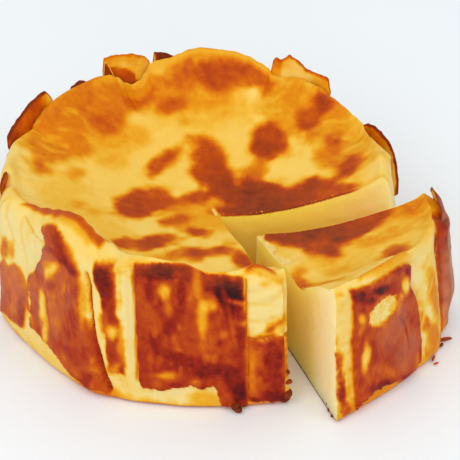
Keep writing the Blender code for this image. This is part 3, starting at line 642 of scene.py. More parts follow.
def oval_depth(u, v, mark):
    """How deep inside an oval each place lies, in millimetres; less than 0 outside it."""
    centre_u, centre_v, half_u, half_v, turn = mark[:5]
    cos, sin = directions(turn)
    along = ((u - centre_u) * cos + (v - centre_v) * sin) / half_u
    across = (-(u - centre_u) * sin + (v - centre_v) * cos) / half_v
    return (1 - np.hypot(along, across)) * min(half_u, half_v)


def line_distance(u, v, line):
    """Distance to a line of points."""
    nearest = np.full(u.shape, FAR_OFF)
    for (u0, v0), (u1, v1) in zip(line, line[1:]):
        du, dv = u1 - u0, v1 - v0
        share = np.clip(((u - u0) * du + (v - v0) * dv) / (du * du + dv * dv), 0, 1)
        nearest = np.minimum(nearest, np.hypot(u - u0 - share * du, v - v0 - share * dv))
    return nearest


def top_bake(points, spots):
    """How browned the top is at each point."""
    x, y = points[..., 0], points[..., 1]
    radius, theta = polar(points)
    wander = noise(points, 5.5, 11) + 0.6 * noise(points, 2.6, 12) + 0.2 * noise(points, 1.2, 13)
    bake = TOP_BAKE + 0.05 * rough(points, 12.0, 21) + 0.04 * noise(points, 3.0, 24)
    back = 1 - soft(0, 100, np.abs(angle_between(theta, 75)))
    bake = lay(bake, BACK_RIM_BAKE, soft(58, 66, radius) * back)
    for mark in TOP_WASHES:
        bake = lay(bake, mark[5], soft(-4.0, 3.6, oval_depth(x, y, mark) + 1.8 * wander))
    bake = bake + 0.035 * noise(points, 1.8, 27) * soft(0.1, 0.4, bake)
    streak = soft(0.15, 0.55, noise(points * (0.6, 1.6, 1), 3.0, 28))
    bake = bake * (1 - 0.22 * streak * soft(44, 58, radius))
    shade = 0.07 * noise(points, 4.0, 31) + 0.05 * noise(points, 1.7, 32)
    for mark in spots:
        cover = soft(-2.8, 2.1, oval_depth(x, y, mark) + 1.3 * wander)
        bake = lay(bake, mark[5] + shade, cover)
    out = radius - around(RIM, theta, 2)
    for first, last, offset, half_width, target in RIM_LINES:
        ends = np.minimum(theta - first, last - theta) * ARC
        depth = np.minimum(half_width - np.abs(out - offset), ends * 0.7)
        bake = lay(bake, target, soft(-1.1, 1.0, depth + 0.35 * wander))
    return bake


def panel_depth(theta, height, panel, wander):
    """How deep inside a panel each place lies, in millimetres."""
    left, right = (np.interp(height, *zip(*panel[edge])) for edge in ("left", "right"))
    top, foot = (np.interp(theta, *zip(*panel[edge])) for edge in ("top", "foot"))
    sides = np.minimum(theta - left, right - theta) * ARC
    ends = np.minimum(top - height + 0.25 * wander, height - foot + 0.8 * wander)
    depth = np.minimum(sides + panel.get("ragged", 0.25) * wander, ends)
    return np.where(theta < panel.get("last", FAR_OFF), depth, -FAR_OFF)


def far_panel(number, row):
    """A panel on the side that is turned away, with edges as uneven as the shown ones."""
    first, last, top, foot, proud, bake = row
    step = np.random.default_rng(FAR_PANEL_SEED + number)
    heights = (0, 14, 28, 42, 60)
    across = np.linspace(first, last, 6)

    def uneven(places, value, most):
        return [(place, value + step.uniform(-most, most)) for place in places]

    return {"left": uneven(heights, first, 1.6), "right": uneven(heights, last, 1.6),
            "top": uneven(across, top, 2.5), "foot": uneven(across, foot, 2.0),
            "proud": proud, "soft": 0.35, "bake": bake}


def far_spots():
    """Lighter and darker spots for the side that is turned away."""
    step = np.random.default_rng(FAR_SPOT_SEED)
    spots = []
    for _ in range(FAR_SPOT_COUNT):
        theta, height = step.uniform(FAR_START, FAR_END), step.uniform(4, 46)
        size = step.uniform(0.8, 2.6)
        target = step.choice((0.34, 0.50, 0.62, 0.84, 0.90, 0.94))
        half_height, turn = size * step.uniform(1.5, 4.0), step.uniform(-25, 25)
        spots.append((theta, height, size, half_height, turn, target))
    return spots


def far_creases():
    """Creases along the panels' edges and in the strips on the side that is turned away."""
    step = np.random.default_rng(FAR_CREASE_SEED)
    edges = [edge for row in FAR_PANELS for edge in row[:2]][1:]
    middles = [(before[1] + after[0]) / 2 for before, after in zip(FAR_PANELS, FAR_PANELS[1:])]
    creases = []
    for theta in (*edges, *middles):
        low, high = step.uniform(3, 9), step.uniform(36, 46)
        line = [(theta + step.uniform(-1.3, 1.3), height) for height in np.linspace(high, low, 5)]
        # The third value darkens each groove as painted shade.
        creases.append((step.uniform(0.5, 1.0), 0.6, step.uniform(0.25, 0.7), *line))
    return creases


PANELS = [*SHOWN_PANELS, *(far_panel(number, row) for number, row in enumerate(FAR_PANELS))]
ALL_CREASES = [*SIDE_CREASES, *far_creases()]
ALL_SPOTS = [*SIDE_SPOTS, *far_spots()]


def kept_on_panel(mark):
    """Whether a spot is a dark one whose middle lies on a panel, so that it ends at its edge."""
    middle = np.array([mark[0]]), np.array([mark[1]])
    return mark[5] > 0.5 and any(panel_depth(*middle, panel, 0.0)[0] > 0.2 for panel in PANELS)


PANEL_SPOTS = {mark for mark in ALL_SPOTS if kept_on_panel(mark)}


def panel_mottle(points):
    """The fine unevenness of a panel's bake, drawn out upwards, and its share of golden flecks."""
    drawn = points * (1, 1, 0.55)
    mottle = 0.11 * rough(drawn, 4.4, 61) + 0.07 * noise(drawn, 1.5, 65)
    return mottle, soft(0.35, 0.85, noise(drawn, 2.2, 66) + 0.5 * noise(drawn, 6.0, 67))


def side_look(points, theta, height):
    """Relief, bake, the share of panel and the painted sheen down the side."""
    arc = theta * ARC

    def inside(mark, low, high, waver, margin=math.inf):
        near = np.abs(theta - mark[0]) * ARC < mark[2] + mark[3] + margin
        return near * soft(low, high, oval_depth(arc, height, (mark[0] * ARC, *mark[1:5])) + waver)

    ragged = noise(points, 1.7, 42) + 0.8 * noise(points, 0.9, 43)
    wander = noise(points, 4.0, 41) + 0.6 * ragged
    relief = sum(depth * noise(points, size, seed)
                 for depth, size, seed in ((0.45, 11.0, 51), (0.20, 4.0, 52), (0.06, 1.5, 53)))
    bake = SIDE_BAKE + 0.07 * rough(points, 9.0, 54) + 0.035 * noise(points, 2.2, 57)
    bake = lay(bake, FOOT_BAKE, soft(4, 0, height + 1.2 * wander))
    for mark in SIDE_WASHES:
        bake = lay(bake, mark[5], inside(mark, -2.4, 2.0, 0.7 * wander))
    crust = np.zeros(theta.shape)
    mottle, fleck = panel_mottle(points)
    for panel in PANELS:
        depth = panel_depth(theta, height, panel, wander)
        cover = soft(-panel["soft"], panel["soft"], depth)
        bake = lay(bake, PANEL_EDGE_BAKE, soft(-1.1, 0.1, depth + 0.3 * wander) * 0.6)
        bake = lay(bake, panel["bake"] + mottle, cover)
        bake = lay(bake, FLECK_BAKE, 0.5 * fleck * cover)
        crust = np.maximum(crust, cover)
        relief = relief + panel["proud"] * cover
        if "swell" in panel:
            swell = np.interp(theta, *zip(*panel["swell"]))
            relief = relief + cover * swell * (0.25 + 0.75 * soft(1, 17, height))
    for mark in ALL_SPOTS:
        cover = inside(mark, -1.2, 1.2, (0.5 if mark[0] > FAR_END else 1.1) * wander, 4)
        cover = cover * crust if mark in PANEL_SPOTS else cover
        bake = lay(bake, mark[5] + 0.05 * ragged, cover)
    relief = relief - 0.14 * crust * np.abs(noise(points, 2.6, 71))
    relief = relief + 0.08 * crust * noise(points, 1.2, 72)
    for depth, half_width, target, *line in ALL_CREASES:
        line = [(angle * ARC, z) for angle, z in line]
        gap = line_distance(arc, height, line) + 0.12 * wander
        relief = relief - depth * soft(2.2 * half_width, 0.2 * half_width, gap)
        # Painted shade: the crease's line is darkened as well as sunk.
        bake = lay(bake, target, soft(1.5 * half_width, 0.3 * half_width, gap) * 0.85)
    for mark in SIDE_TEARS:
        cover = inside(mark, -0.25, 0.35, 0.55 * ragged, 4)
        relief = relief - mark[5] * cover
        bake = lay(bake, TORN_SIDE_BAKE + 0.09 * ragged, cover)
        crust = crust * (1 - cover)
    below = height - around(RIM, theta)
    for first, last, proud in BROWS:
        across = soft(0, 1.2, np.minimum(theta - first, last - theta))
        brow = soft(-0.5, 0.2, below + 3.6 + 0.5 * wander) * soft(0.6, -2.0, below)
        relief = relief + proud * across * brow
    # Painted sheen: patches of dark panel get a greyish-pink colour for the reflection of the bright
    # surroundings.
    veils = [mark[5] * inside(mark, -2.5, 3.0, 1.2 * wander) for mark in SHEEN_PATCHES]
    veil = np.max(veils, axis=0) * (0.75 + 3 * mottle)
    bake = lay(bake, BASE_BAKE, soft(1.6, 0.2, height + 0.3 * wander) * 0.8)
    return relief, bake, crust, veil * crust


# ---- meshes laid out along rays from the apex ----------------------------------------------

def looks(points, **values):
    """A row for each point: its x, y, z and its looks, which are 0 unless given."""
    points = np.asarray(points, float)
    columns = [np.broadcast_to(values.get(name, 0.0), len(points)) for name in LOOKS]
    return np.column_stack([points, *columns])


def stitch(upper, lower):
    """Faces between two rows of vertices, of which one may have twice as many steps."""
    if len(upper) == len(lower):
        return [(upper[i], lower[i], lower[i + 1], upper[i + 1]) for i in range(len(upper) - 1)]
    faces = []
    if len(lower) > len(upper):
        for i in range(len(upper) - 1):
            left, middle, right = lower[2 * i:2 * i + 3]
            faces += [(upper[i], left, middle), (upper[i], middle, upper[i + 1]),
                      (upper[i + 1], middle, right)]
        return faces
    for i in range(len(lower) - 1):
        left, middle, right = upper[2 * i:2 * i + 3]
        faces += [(left, lower[i], middle), (middle, lower[i], lower[i + 1]),
                  (middle, lower[i + 1], right)]
    return faces


def ring_skip(reach):
    """How many columns each step of a ring covers: rings near the apex need fewer."""
    return 8 if reach < 8 else 4 if reach < 17 else 2 if reach < 34 else 1


def top_relief(points):
    """Low waves and fine wrinkles of the top skin."""
    near_rim = soft(40, 64, polar(points)[0])
    waves = 0.45 * noise(points, 17.0, 81) + 0.22 * noise(points, 7.0, 82) * (1 + near_rim)
    return waves + 0.07 * noise(points, 2.6, 83) + 0.03 * noise(points, 1.3, 84)


def torn_share(points, spots):
    """Where the knife tore the skin off: the slit past the apex and the slice's tip."""
    x, y = points[:, 0], points[:, 1]
    ragged = 0.5 * noise(points, 2.4, 87) + 0.4 * noise(points, 1.1, 88)
    if spots is TOP_SPOTS:
        return soft(-0.3, 0.5, 0.8 - line_distance(x, y, SLIT) + 0.5 * ragged)
    return soft(-0.3, 0.5, 2.1 - line_distance(x, y, TORN_TIP) + 1.6 * ragged)


def top_rows(phi, spots):
    """Rows of points over the top, from next to the apex out to next to the crest."""
    reach, _, _ = ray_reach(phi, np.zeros(phi.shape))
    end, edge_bake, first, last = CUT_EDGES["body" if spots is TOP_SPOTS else "slice"]
    count = int(reach.mean() / RING_STEP)
    rows = []
    for share in np.arange(1, count) / count:
        skip = ring_skip(share * reach.mean())
        place = APEX + (share * reach[::skip])[:, None] * directions(phi[::skip])
        radius, theta = polar(place)
        points = np.column_stack([place, top_height(radius, theta)])
        points[:, 2] += top_relief(points)
        torn = torn_share(points, spots)
        bake = top_bake(points, spots)
        points[:, 2] -= torn * (0.7 + 0.35 * noise(points, 1.4, 86))
        edge_reach = reach[end] * share
        at_edge = soft(first, first + 4, edge_reach) * soft(last, last - 8, edge_reach)
        bake[end] = lay(bake[end], edge_bake, 0.8 * at_edge)
        side = lay(RIM_SIDE * soft(54, 66, radius), TORN_SIDE, torn)
        rows.append(looks(points, bake=lay(bake, TORN_TOP_BAKE, torn), side=side))
    return rows


def side_rows(phi, spots):
    """Rows of points from the crest down to the base."""
    shoulder = np.linspace(0, 1, SHOULDER_ROWS, endpoint=False) ** 0.9
    down = np.linspace(1, 2, SIDE_ROWS, endpoint=False)
    along = directions(phi)
    rows = []
    for share in (*shoulder, *down, *EDGE_SHARES):
        reach, theta, height = ray_reach(phi, np.full(phi.shape, share))
        points = np.column_stack([APEX + reach[:, None] * along, height])
        over = soft(0.12, 0.75, share)
        relief, side_bake, crust, veil = side_look(points, theta, height)
        relief *= over * (1 - 0.8 * soft(2.0, 3.0, share))
        turned = np.maximum(soft(0.10, 0.60, share), crust * soft(0.0, 0.3, share))
        bake = lay(top_bake(points, spots), side_bake, turned)
        points[:, :2] += relief[:, None] * along
        points[:, 2] += top_relief(points) * (1 - soft(0.2, 1.2, share))
        side = lay(RIM_SIDE, 1, soft(0.2, 1.0, share))
        rows.append(looks(points, bake=bake, side=side, veil=veil * over))
    return rows


def base_rows(phi):
    """Rows of points back in under the flat base."""
    reach, _, _ = ray_reach(phi, np.full(phi.shape, 3.0))
    rows = []
    for share in BASE_SHARES:
        skip = ring_skip(share * reach.mean() * 0.6)
        place = APEX + (share * reach[::skip])[:, None] * directions(phi[::skip])
        points = np.column_stack([place, np.zeros(len(place))])
        rows.append(looks(points, bake=BASE_BAKE + 0.12 * rough(points, 9.0, 91), side=1.0))
    return rows


def cut_face(loop_points, angle, seed):
    """Fills one cut face. Returns its inner points, and faces that number the loop's points
    first and the inner ones after them."""
    along = directions(angle)
    loop = np.column_stack([polar(loop_points - (*APEX, 0))[0], loop_points[:, 2]])
    step = np.random.default_rng(seed)
    across, up = (np.arange(CRUMB_STEP, loop[:, axis].max(), CRUMB_STEP) for axis in (0, 1))
    grid = np.stack(np.meshgrid(across, up), -1).reshape(-1, 2)
    grid += step.uniform(-CRUMB_SHIFT, CRUMB_SHIFT, grid.shape)
    gap = np.full(len(grid), FAR_OFF)
    inside = np.zeros(len(grid), bool)
    for (x0, y0), (x1, y1) in zip(loop, np.roll(loop, -1, axis=0)):
        gap = np.minimum(gap, np.hypot(grid[:, 0] - x0, grid[:, 1] - y0))
        crosses = (y0 > grid[:, 1]) != (y1 > grid[:, 1])
        with np.errstate(divide="ignore", invalid="ignore"):
            hit = x0 + (grid[:, 1] - y0) / (y1 - y0) * (x1 - x0)
        inside ^= crosses & (grid[:, 0] < hit)
    keep = inside & (gap > CRUMB_MARGIN)
    grid, gap = grid[keep], gap[keep]
    flat = np.vstack([loop, grid])
    made = delaunay_2d_cdt(flat.tolist(), [], [list(range(len(loop)))], 1, 1e-6)
    source = [origins[0] for origins in made[3]]
    faces = [[source[corner] for corner in face] for face in made[2]]
    faces = [face if turns_left(flat[face]) else face[::-1] for face in faces]
    inner = np.column_stack([APEX + grid[:, :1] * along, grid[:, 1]])
    crumb = 0.22 * noise(inner, 3.2, seed + 1) + 0.16 * noise(inner, 1.6, seed + 2)
    inner += (crumb * soft(0.3, 2.0, gap))[:, None] * (-along[1], along[0], 0)
    return inner, faces


def turns_left(triangle):
    (x0, y0), (x1, y1), (x2, y2) = triangle
    return (x1 - x0) * (y2 - y0) > (x2 - x0) * (y1 - y0)


def mark_cut(points, skin, shown):
    """Gives a cut face's points the depth under the skin, the bake of that skin and the painted glow."""
    gaps = np.linalg.norm(points[shown, None, :3] - points[None, skin, :3], axis=-1)
    depth, height = gaps.min(axis=1), points[shown, 2]
    bake = points[skin, BAKE][gaps.argmin(axis=1)]
    points[shown, DEPTH] = np.minimum(depth, height)
    points[shown, SKIN_BAKE] = np.where(height < depth, BASE_LINE_BAKE, bake)
    both = skin + shown
    # Painted bounce light: the inside is made brighter and yellower towards the apex.
    points[both, BOUNCE_GLOW] = 1 - soft(*BOUNCE_GLOW_REACH, polar(points[both, :2] - APEX)[0])


def cake_piece(name, first, last, columns, spots, materials):
    """The closed mesh of one piece, between two rays from the apex."""
    phi = np.linspace(first, last, columns + 1)
    rows = [*top_rows(phi, spots), *side_rows(phi, spots), *base_rows(phi)]
    numbers, count = [], 0
    for row in rows:
        numbers.append(list(range(count, count + len(row))))
        count += len(row)
    apex_height = float(top_height(*polar(APEX)))
    heights = (apex_height, 0.0, *np.arange(CRUMB_STEP, apex_height - 0.5, CRUMB_STEP))
    points = np.vstack([*rows, looks([(*APEX, z) for z in heights])])
    top_corner, base_corner, *edge = range(count, len(points))
    points[top_corner, BAKE], points[base_corner, BAKE] = points[0, BAKE], BASE_BAKE
    points[:, SKIN_BAKE] = points[:, BAKE]

    faces = [(top_corner, *pair) for pair in zip(numbers[0], numbers[0][1:])]
    for upper, lower in zip(numbers, numbers[1:]):
        faces += stitch(upper, lower)
    faces += [(left, base_corner, right) for left, right in zip(numbers[-1], numbers[-1][1:])]
    skin_faces = len(faces)
    for end, angle, seed in ((0, first, FIRST_CUT_SEED), (-1, last, LAST_CUT_SEED)):
        skin = [top_corner, *(row[end] for row in numbers), base_corner]
        inner, inner_faces = cut_face(points[skin + edge, :3], angle, seed)
        added = list(range(len(points), len(points) + len(inner)))
        lookup = skin + edge + added
        for face in inner_faces:
            face = [lookup[corner] for corner in face]
            faces.append(face if end == 0 else face[::-1])
        points = np.vstack([points, looks(inner)])
        mark_cut(points, skin, edge + added)
    slots = [0] * skin_faces + [1] * (len(faces) - skin_faces)
    return mesh_object(name, points, faces, materials, slots)


# ---- loose and standing bits ---------------------------------------------------------------

def fin_shell(fin, seed):
    """One thin closed tongue of crust: its points with their looks, and its faces."""
    table = np.array(fin["stations"])
    columns = int((table[-1, 0] - table[0, 0]) * ARC / FIN_STEP) + 1
    theta = np.linspace(table[0, 0], table[-1, 0], columns)
    foot, tip, lean, bake = (np.interp(theta, table[:, 0], table[:, part]) for part in range(1, 5))

    def along_fin(name, usual):
        value = fin.get(name, usual)
        return np.interp(theta, *zip(*value)) if isinstance(value, tuple) else value

    def sheet_at(radius):
        return np.concatenate([radius[..., None] * directions(theta), height[..., None]], -1)

    edge = np.column_stack([70 * directions(theta), np.zeros(columns)])
    tip = tip + 0.45 * noise(edge, 2.2, seed) + 0.35 * noise(edge, 1.1, seed + 1)
    share = np.linspace(0, 1, FIN_ROWS + 1)[:, None]
    height = foot + (tip - foot) * share
    foot_radius = side_place(theta, np.ones(columns))[0] + along_fin("offset", 0.0) - FIN_SINK
    radius = foot_radius + lean * share - along_fin("curl", 0.0) * share**3
    sheet = sheet_at(radius)
    radius = radius + share * (0.55 * noise(sheet, 6.0, seed + 2) + 0.25 * noise(sheet, 2.5, seed + 3))
    ends = np.minimum(theta - theta[0], theta[-1] - theta) * ARC
    thick = FIN_THICKNESS * (1 - 0.62 * share) * (0.35 + 0.65 * soft(0, 1.6, ends))

    mottle = 0.06 * noise(sheet, 3.0, seed + 4) + 0.04 * noise(sheet, 1.3, seed + 5)
    inner_bake = lay(bake, fin.get("foot_bake", 0.40), 0.6 * soft(0.6, 0.1, share)) + 1.5 * mottle
    if "pocket" in fin:
        below = along_fin("pocket", None) - height
        inner_bake = lay(inner_bake, 0.62 + mottle, soft(-0.3, 0.7, below))
    outer_mottle, fleck = panel_mottle(sheet)
    outer_bake = lay(fin.get("outer_bake", 0.78) + outer_mottle, FLECK_BAKE, 0.6 * fleck)
    every_theta = np.tile(theta, FIN_ROWS + 1)
    _, side_bake, _, _ = side_look(sheet.reshape(-1, 3), every_theta, height.reshape(-1))
    outer_bake = lay(outer_bake, side_bake.reshape(height.shape), soft(0.85, 0.15, share))
    rim = soft(1.3, 0.3, (tip - foot) * (1 - share) + 0.4 * noise(sheet, 1.6, seed + 6))

    shells = []
    # The outer face may carry a painted sheen, a greyish-pink colour that stands in for reflected light.
    for out, face_bake, veil in ((0.5, outer_bake, fin.get("sheen_strength", 0.0)), (-0.5, inner_bake, 0.0)):
        points = sheet_at(radius + out * thick).reshape(-1, 3)
        shells.append(looks(points, bake=lay(face_bake, fin["tip_bake"], rim).reshape(-1), veil=veil))
    outer, inner = np.arange(2 * height.size).reshape(2, FIN_ROWS + 1, columns).tolist()
    ring = outer + inner[::-1]
    faces = []
    for here, there in zip(ring, ring[1:] + ring[:1]):
        faces += zip(here, here[1:], there[1:], there)
    for low, high, low_in, high_in in zip(outer, outer[1:], inner, inner[1:]):
        faces += [(low[0], high[0], high_in[0], low_in[0]), (high[-1], low[-1], low_in[-1], high_in[-1])]
    return np.vstack(shells), faces


def lump(row, fineness, side, seed):
    """A small uneven crumb that lies on what is under it: its points and its faces."""
    x, y, z, half_size, bake, stretch, turn = row
    shape = bmesh.new()
    bmesh.ops.create_icosphere(shape, subdivisions=fineness, radius=half_size)
    points = np.array([tuple(vertex.co) for vertex in shape.verts])
    faces = [tuple(vertex.index for vertex in face.verts) for face in shape.faces]
    shape.free()
    moved = points + seed
    swell = 0.30 * noise(moved, half_size, seed) + 0.12 * noise(moved, half_size / 2.2, seed + 1)
    points *= (1 + swell)[:, None]
    points *= (stretch, 1 / stretch**0.5, 0.8)
    cos, sin = directions(turn)
    points = points @ ((cos, sin, 0), (-sin, cos, 0), (0, 0, 1)) + (x, y, z)
    points[:, 2] = np.maximum(points[:, 2], 0.02)
    bake = bake + 0.08 * noise(points, half_size, LUMP_SEED + 10)
    return looks(points, bake=bake, side=side), faces


def joined(name, shells, materials):
    """One mesh made of several closed shells, each given as its points and its faces."""
    faces, count = [], 0
    for points, shell_faces in shells:
        faces += [[corner + count for corner in face] for face in shell_faces]
        count += len(points)
    return mesh_object(name, np.vstack([points for points, _ in shells]), faces, materials)


def fin_piece(name, fins, materials):
    shells = [fin_shell(fin, FIN_SEED + 10 * number) for number, fin in enumerate(fins)]
    return joined(name, shells, materials)


def lump_piece(name, rows, fineness, side, materials):
    shells = [lump(row, fineness, side, LUMP_SEED + number) for number, row in enumerate(rows)]
    return joined(name, shells, materials)


def edge_crumbs(in_slice):
    """Rows for the fine pale crumbs along the top edges of the cuts and near the apex."""
    step = np.random.default_rng(FINE_CRUMB_SEED + in_slice)
    rows = []
    for number in range(FINE_CRUMBS // 2):
        far_cut = number % 2
        reach = 64 * step.uniform(0, 1) ** (1.6 if far_cut else 2.2)
        off = abs(step.normal(0, 0.5)) + 0.1
        into_cake = 1 if far_cut != in_slice else -1
        along = directions((WEDGE_START, WEDGE_END)[far_cut])
        place = APEX + reach * along + into_cake * off * np.array((-along[1], along[0]))
        height = float(top_height(*polar(place))) + 0.1
        size, bake = step.uniform(0.12, 0.3), step.uniform(0.12, 0.45)
        rows.append((*place, height, size, bake, step.uniform(1, 1.5), step.uniform(0, 180)))
    return rows


def mesh_object(name, points, faces, materials, slots=None):
    """A smooth mesh object, with its points' looks as values for the materials."""
    mesh = bpy.data.meshes.new(name)
    mesh.from_pydata((points[:, :3] * MM).tolist(), [], faces)
    for material in materials:
        mesh.materials.append(material)
    if slots is not None:
        mesh.polygons.foreach_set("material_index", slots)
    for look, values in zip(LOOKS, points[:, 3:].T):
        layer = mesh.attributes.new(look, "FLOAT", "POINT")
        layer.data.foreach_set("value", values.astype(np.float32))
    mesh.shade_smooth()
    mesh.set_sharp_from_angle(angle=SHARP_ANGLE)
    mesh.validate()
    return linked(name, mesh)


def linked(name, data):
    thing = bpy.data.objects.new(name, data)
    bpy.context.collection.objects.link(thing)
    return thing


# ---- materials -----------------------------------------------------------------------------

# The crust's colours by bake, on the open top and on the side that lay against the lining.
TOP_STOPS = (
    (0.00, (248, 214, 118)), (0.12, (245, 204, 96)), (0.22, (240, 186, 58)), (0.34, (232, 158, 18)),
    (0.44, (222, 128, 4)), (0.54, (207, 98, 4)), (0.64, (188, 74, 8)), (0.74, (166, 62, 14)),
    (0.84, (143, 56, 18)), (1.00, (104, 40, 20)),
)
SIDE_STOPS = (
    (0.00, (242, 217, 134)), (0.12, (240, 205, 106)), (0.22, (236, 187, 60)), (0.34, (229, 158, 18)),
    (0.46, (216, 116, 4)), (0.58, (192, 80, 10)), (0.70, (172, 54, 14)), (0.80, (146, 32, 12)),
    (0.90, (104, 20, 14)), (1.00, (48, 18, 20)),
)
# The inside's colours by painted glow: 0 near the rim, 1 near the apex, where a yellower, brighter
# colour stands in for light bounced about in the narrow cut.
CRUMB_STOPS = (
    (0, (244, 219, 164)), (0.4, (252, 217, 128)), (0.75, (255, 218, 108)), (1, (255, 217, 98)),
)
CREAM_COLOUR = (234, 212, 144)
# The painted sheen: the greyish pink that glossy dark crust shows where it reflects the bright
# surroundings.
PAINTED_SHEEN_COLOUR = (220, 157, 112)
FLOOR_COLOURS = (246, 251, 254), (250, 253, 255)


def linear(colour):
    """A colour given from 0 to 255 as it looks on a screen, made linear, with its alpha."""
    parts = (((part / 255 + 0.055) / 1.055) ** 2.4 if part > 10 else part / 3294.6 for part in colour)
    return (*parts, 1.0)


class Nodes:
    """Short names for making shader nodes in one material."""

    def __init__(self, name):
        self.material = bpy.data.materials.new(name)
        self.material.use_nodes = True
        self.tree = self.material.node_tree
        self.shader = self.tree.nodes["Principled BSDF"]
        self.place = self.add("ShaderNodeTexCoord").outputs["Object"]

    def add(self, kind, **settings):
        node = self.tree.nodes.new(kind)
        for key, value in settings.items():
            setattr(node, key, value)
        return node

    def feed(self, socket, value):
        """Links a socket to another one, or sets it to a number or a colour."""
        if isinstance(value, bpy.types.NodeSocket):
            self.tree.links.new(value, socket)
        else:
            socket.default_value = linear(value) if isinstance(value, tuple) else value

    def mark(self, name):
        return self.add("ShaderNodeAttribute", attribute_name=name).outputs["Fac"]

    def grain(self, size, detail=3.0, roughness=0.55):
        """Noise from about 0.2 to 0.8 with lumps of the given size in millimetres."""
        node = self.add("ShaderNodeTexNoise")
        inputs = {"Scale": 1 / (size * MM), "Detail": detail, "Roughness": roughness, "Vector": self.place}
        for key, value in inputs.items():
            self.feed(node.inputs[key], value)
        return node.outputs["Fac"]

    def count(self, kind, *values):
        """A Math node's result."""
        node = self.add("ShaderNodeMath", operation=kind)
        for socket, value in zip(node.inputs, values):
            self.feed(socket, value)
        return node.outputs[0]

    def swing(self, grain, amount):
        """A grain that swings evenly about 0."""
        return self.count("MULTIPLY", self.count("SUBTRACT", grain, 0.5), amount)

    def mix(self, share, first, second):
        node = self.add("ShaderNodeMix", data_type="RGBA")
        sockets = [socket for socket in node.inputs if socket.enabled]
        for socket, value in zip(sockets, (share, first, second)):
            self.feed(socket, value)
        return next(socket for socket in node.outputs if socket.enabled)

    def ramp(self, value, stops):
        node = self.add("ShaderNodeValToRGB")
        elements = node.color_ramp.elements
        elements.remove(elements[-1])
        for number, (place, colour) in enumerate(stops):
            stop = elements[0] if number == 0 else elements.new(place)
            stop.position, stop.color = place, linear(colour)
        self.feed(node.inputs["Fac"], value)
        return node.outputs["Color"]

    def range(self, value, low, high, new_low, new_high, kind="LINEAR"):
        node = self.add("ShaderNodeMapRange", interpolation_type=kind)
        names = ("Value", "From Min", "From Max", "To Min", "To Max")
        for key, number in zip(names, (value, low, high, new_low, new_high)):
            self.feed(node.inputs[key], number)
        return node.outputs["Result"]

    def bump(self, coarse, coarse_depth, fine, fine_depth, fine_strength):
        """Relief of a coarse grain with a fine one over it; depths in millimetres."""
        below = None
        for grain, strength, depth in ((coarse, 0.35, coarse_depth), (fine, fine_strength, fine_depth)):
            node = self.add("ShaderNodeBump")
            node.inputs["Strength"].default_value = strength
            node.inputs["Distance"].default_value = depth * MM
            self.feed(node.inputs["Height"], grain)
            if below:
                self.feed(node.inputs["Normal"], below)
            below = node.outputs["Normal"]
        self.feed(self.shader.inputs["Normal"], below)

    def finish(self, **values):
        """Sets the shader's sockets, whose names are given with _ for each space."""
        for key, value in values.items():
            socket = self.shader.inputs[key.replace("_", " ")]
            if isinstance(value, tuple):
                socket.default_value = value
            else:
                self.feed(socket, value)
        return self.material


def crust_material():
    """Baked skin: cream, golden or browned as its bake says, and smoother where it is dark."""
    nodes = Nodes("baked_skin")
    bake, side = nodes.mark("bake"), nodes.mark("side")
    coarse, fine = nodes.grain(3.4, 5.0, 0.62), nodes.grain(0.8)
    spread = nodes.count("MULTIPLY_ADD", bake, 0.20, 0.06)
    speck = nodes.swing(fine, nodes.count("MULTIPLY", spread, 0.55))
    worked = nodes.count("ADD", nodes.count("ADD", bake, nodes.swing(coarse, spread)), speck)
    browned = nodes.mix(side, nodes.ramp(worked, TOP_STOPS), nodes.ramp(worked, SIDE_STOPS))
    blotch = nodes.range(nodes.grain(9.0), 0.3, 0.7, 0.55, 1.0)
    paleness = nodes.range(worked, 0.06, 0.27, 1.0, 0.0, "SMOOTHSTEP")
    creamy = nodes.count("MULTIPLY", nodes.count("MULTIPLY", side, blotch), paleness)
    darkness = nodes.range(worked, 0.35, 0.60, 0.0, 1.0, "SMOOTHSTEP")
    # Painted sheen: over dark crust, a greyish-pink colour stands in for reflected light.
    sheen_strength = nodes.count("MULTIPLY", nodes.mark("veil"), darkness)
    nodes.bump(coarse, 0.35, fine, 0.12, 0.25)
    return nodes.finish(
        Base_Color=nodes.mix(sheen_strength, nodes.mix(creamy, browned, CREAM_COLOUR), PAINTED_SHEEN_COLOUR),
        Roughness=nodes.range(worked, 0.1, 0.8, 0.55, 0.36), Specular_IOR_Level=0.09,
        Subsurface_Weight=0.10, Subsurface_Radius=(1.0, 0.6, 0.25), Subsurface_Scale=1.4 * MM)


def crumb_material():
    """The dense creamy inside on a cut face, with a thin line of baked skin round its edge."""
    nodes = Nodes("creamy_inside")
    coarse, fine = nodes.grain(2.4, 5.0, 0.6), nodes.grain(0.5)
    # Painted bounce light: the inside is yellower and brighter towards the apex, as light bounced about in
    # the narrow cut would make it.
    inside = nodes.ramp(nodes.count("ADD", nodes.mark("bounce_glow"), nodes.swing(coarse, 0.55)), CRUMB_STOPS)
    deep = nodes.count("ADD", nodes.mark("depth"), nodes.swing(fine, 0.9))
    edge = nodes.range(deep, 0.30, 1.1, 1.0, 0.0, "SMOOTHSTEP")
    skin_bake = nodes.mark("skin_bake")
    skin = nodes.ramp(skin_bake, SIDE_STOPS)
    cover = nodes.count("MULTIPLY", edge, nodes.range(skin_bake, 0.15, 0.6, 0.25, 1.0))
    nodes.bump(coarse, 0.5, fine, 0.25, 0.5)
    return nodes.finish(
        Base_Color=nodes.mix(cover, inside, skin), Roughness=0.6, Specular_IOR_Level=0.2,
        Subsurface_Weight=0.9, Subsurface_Radius=(1.0, 0.75, 0.36), Subsurface_Scale=16.0 * MM)


def floor_material():
    """A plain, nearly white surface."""
    nodes = Nodes("pale_floor")
    return nodes.finish(Base_Color=nodes.mix(nodes.grain(60.0, 2.0), *FLOOR_COLOURS), Roughness=0.6)


# ---- stage ---------------------------------------------------------------------------------

